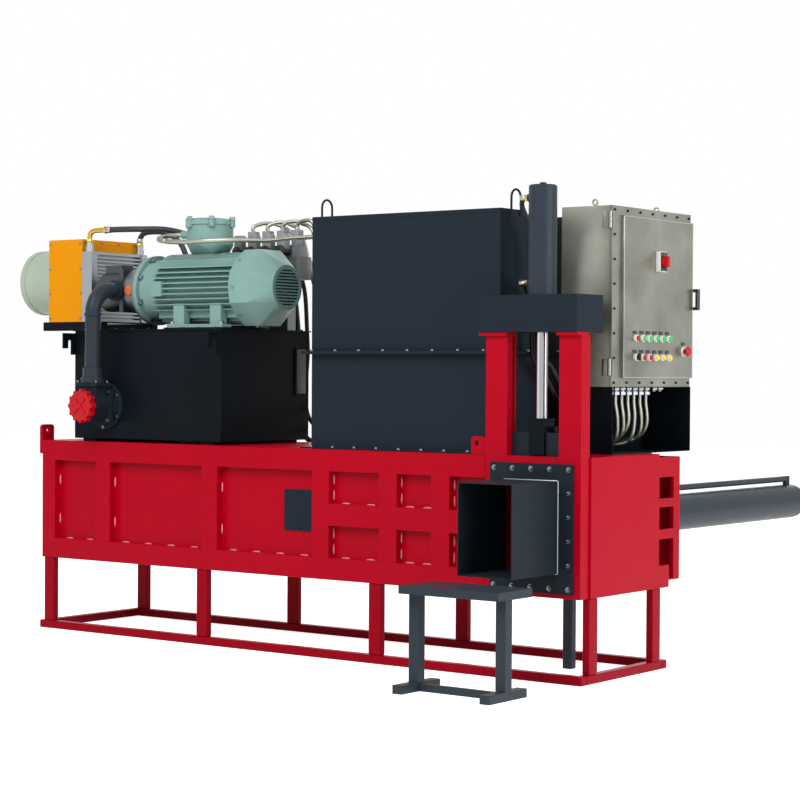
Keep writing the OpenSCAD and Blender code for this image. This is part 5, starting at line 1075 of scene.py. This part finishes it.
class PRESS_OT_lines(bpy.types.Operator):
    """Ribbed conduits, hoses with crimped ferrules and hexagon fittings"""
    bl_idname = "press.lines"
    bl_label = "Conduits and hoses"

    def execute(self, context):
        step = sizes().rib / 2
        conduits = joined([swept(route, diameter, step, True) for diameter, route in HARNESS])
        finish_piece(conduits, "conduit_runs", MATERIALS["conduit_grey"])
        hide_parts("conduits")
        hoses = joined([swept(route, diameter, HOSE_STEP, False) for diameter, route in HOSES])
        finish_piece(hoses, "hose_runs", MATERIALS["hose_rubber"])
        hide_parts("hydraulic_hoses")
        ferrules, nuts = [], []
        for diameter, route in HOSES:
            for first, second in ((route[0], route[1]), (route[-1], route[-2])):
                direction = (Vector(second) - Vector(first)).normalized()
                place, radius = spot(*first), diameter * MM / 2
                nuts.append(drum(radius * 1.28, place, direction, HOSE_NUT, 2 * MM, 6))
                place = place + direction * HOSE_NUT
                ferrules.append(drum(radius * 1.14, place, direction, FERRULE, 3 * MM, 20))
        nuts.append(swept(ELBOW, ELBOW_SIZE, ELBOW_STEP, False))
        nuts.append(drum(ELBOW_NUT * MM, spot(*ELBOW[0]), UP, 18 * MM, 2 * MM, 6))
        finish_piece(joined(ferrules), "hose_ferrules", MATERIALS["zinc"])
        finish_piece(joined(nuts), "hose_nuts", MATERIALS["brass"])
        return {"FINISHED"}


# Stage

# The camera's place in the machine's millimetres, its turn in radians and its lens
CAMERA_AT = (5302, -8559, 1500)
CAMERA_YAW, CAMERA_PITCH, CAMERA_ROLL = 0.642, 0.0126, 0.0061
CAMERA_LENS, SENSOR = 94.1, 36.0
# Soft lights: place and size in metres and power in watts, all aimed at one point
LIGHTS = (
    ("right soft light", (9.0, -1.0, 4.0), 6.0, 520),
    ("front soft light", (1.0, -8.0, 7.5), 6.0, 740),
    ("cabinet reflector", (-2.9, -8.0, 2.3), 2.4, 22),
    ("rear soft light", (-3.0, 8.0, 6.0), 6.0, 300))
LIGHT_AIM = Vector((0, -0.5, 1.0))
# Floor: size in metres, grey of its matt surface, and the glow that makes it white to the eye
FLOOR_SIZE, FLOOR_GREY, FLOOR_GLOW = 60, (0.86, 0.86, 0.86, 1), 0.85
# Light of the surroundings on the object, where the background itself is white
WORLD_FILL = 0.30
WHITE = (1, 1, 1, 1)


def pale_to(tree):
    """1 for the rays that see the pale background: from the camera, off metal and through glass."""
    path = add(tree, "ShaderNodeLightPath").outputs
    direct = add(tree, "ShaderNodeMath", {
        0: path["Is Camera Ray"], 1: path["Is Transmission Ray"]}, operation="MAXIMUM")
    seen = add(tree, "ShaderNodeMath", {
        0: direct.outputs["Value"], 1: path["Is Glossy Ray"]}, operation="MAXIMUM")
    return seen.outputs["Value"]


def lay_floor():
    deselect()
    bpy.ops.mesh.primitive_plane_add(size=FLOOR_SIZE, location=(0, 0, -0.0005))
    floor = bpy.context.object
    floor.name = "floor"
    apply_place(floor)
    # Matt studio paper: takes the shadow and looks white
    material, tree, output = new_material("studio floor")
    matt = add(tree, "ShaderNodeBsdfDiffuse", {"Color": FLOOR_GREY})
    glow = add(tree, "ShaderNodeEmission", {"Color": WHITE, "Strength": FLOOR_GLOW})
    both = add(tree, "ShaderNodeAddShader", {0: matt.outputs["BSDF"], 1: glow.outputs["Emission"]})
    mixed = add(tree, "ShaderNodeMixShader", {
        0: pale_to(tree), 1: matt.outputs["BSDF"], 2: both.outputs["Shader"]})
    tree.links.new(mixed.outputs["Shader"], output.inputs["Surface"])
    floor.data.materials.append(material)


def light_world(scene):
    scene.world = bpy.data.worlds.new("studio")
    scene.world.use_nodes = True
    tree = scene.world.node_tree
    tree.nodes.clear()
    level = add(tree, "ShaderNodeMapRange", {"Value": pale_to(tree), "To Min": WORLD_FILL, "To Max": 1.0})
    sky = add(tree, "ShaderNodeBackground", {"Color": WHITE, "Strength": level.outputs["Result"]})
    out = add(tree, "ShaderNodeOutputWorld")
    tree.links.new(sky.outputs["Background"], out.inputs["Surface"])
    for name, place, size, power in LIGHTS:
        lamp = bpy.data.lights.new(name, "AREA")
        lamp.size = size
        lamp.energy = power
        obj = bpy.data.objects.new(name, lamp)
        scene.collection.objects.link(obj)
        obj.location = place
        obj.rotation_euler = (LIGHT_AIM - Vector(place)).to_track_quat("-Z", "Y").to_euler()


def place_camera(scene):
    forward = Vector((-math.sin(CAMERA_YAW), math.cos(CAMERA_YAW), 0))
    right = Vector((math.cos(CAMERA_YAW), math.sin(CAMERA_YAW), 0))
    look = forward * math.cos(CAMERA_PITCH) - UP * math.sin(CAMERA_PITCH)
    up = UP * math.cos(CAMERA_PITCH) + forward * math.sin(CAMERA_PITCH)
    side = right * math.cos(CAMERA_ROLL) + up * math.sin(CAMERA_ROLL)
    top = up * math.cos(CAMERA_ROLL) - right * math.sin(CAMERA_ROLL)
    data = bpy.data.cameras.new("photo camera")
    data.lens = CAMERA_LENS
    data.sensor_width = SENSOR
    camera = bpy.data.objects.new("photo camera", data)
    scene.collection.objects.link(camera)
    turn = Matrix((side, top, -look)).transposed().to_4x4()
    camera.matrix_world = Matrix.Translation(spot(*CAMERA_AT)) @ turn
    scene.camera = camera


class PRESS_OT_stage(bpy.types.Operator):
    """Pale floor, soft light and the camera"""
    bl_idname = "press.stage"
    bl_label = "Stage"

    def execute(self, context):
        context.scene.view_settings.view_transform = "Standard"
        lay_floor()
        light_world(context.scene)
        place_camera(context.scene)
        return {"FINISHED"}


OPERATORS = (
    PRESS_OT_stage, PRESS_OT_finishes, PRESS_OT_fasteners, PRESS_OT_welds, PRESS_OT_controls,
    PRESS_OT_cabinet, PRESS_OT_power_unit, PRESS_OT_lines)


class PRESS_PT_panel(bpy.types.Panel):
    """Lists the steps that dress the press"""
    bl_label = "Bagging press"
    bl_idname = "PRESS_PT_panel"
    bl_space_type = "VIEW_3D"
    bl_region_type = "UI"
    bl_category = "Press"

    def draw(self, context):
        for group in (context.scene.press_colours, context.scene.press_sizes):
            for key in group.__annotations__:
                self.layout.prop(group, key)
        for operator in OPERATORS:
            self.layout.operator(operator.bl_idname)


CLASSES = (PressColours, PressSizes, *OPERATORS, PRESS_PT_panel)


def register():
    for item in CLASSES:
        bpy.utils.register_class(item)
    bpy.types.Scene.press_colours = PointerProperty(type=PressColours)
    bpy.types.Scene.press_sizes = PointerProperty(type=PressSizes)


def unregister():
    del bpy.types.Scene.press_sizes
    del bpy.types.Scene.press_colours
    for item in reversed(CLASSES):
        bpy.utils.unregister_class(item)


def main():
    register()
    bpy.ops.press.stage()
    bpy.ops.press.finishes()
    bpy.ops.press.fasteners()
    bpy.ops.press.welds()
    bpy.ops.press.controls()
    bpy.ops.press.cabinet()
    bpy.ops.press.power_unit()
    bpy.ops.press.lines()


if __name__ == "__main__":
    main()
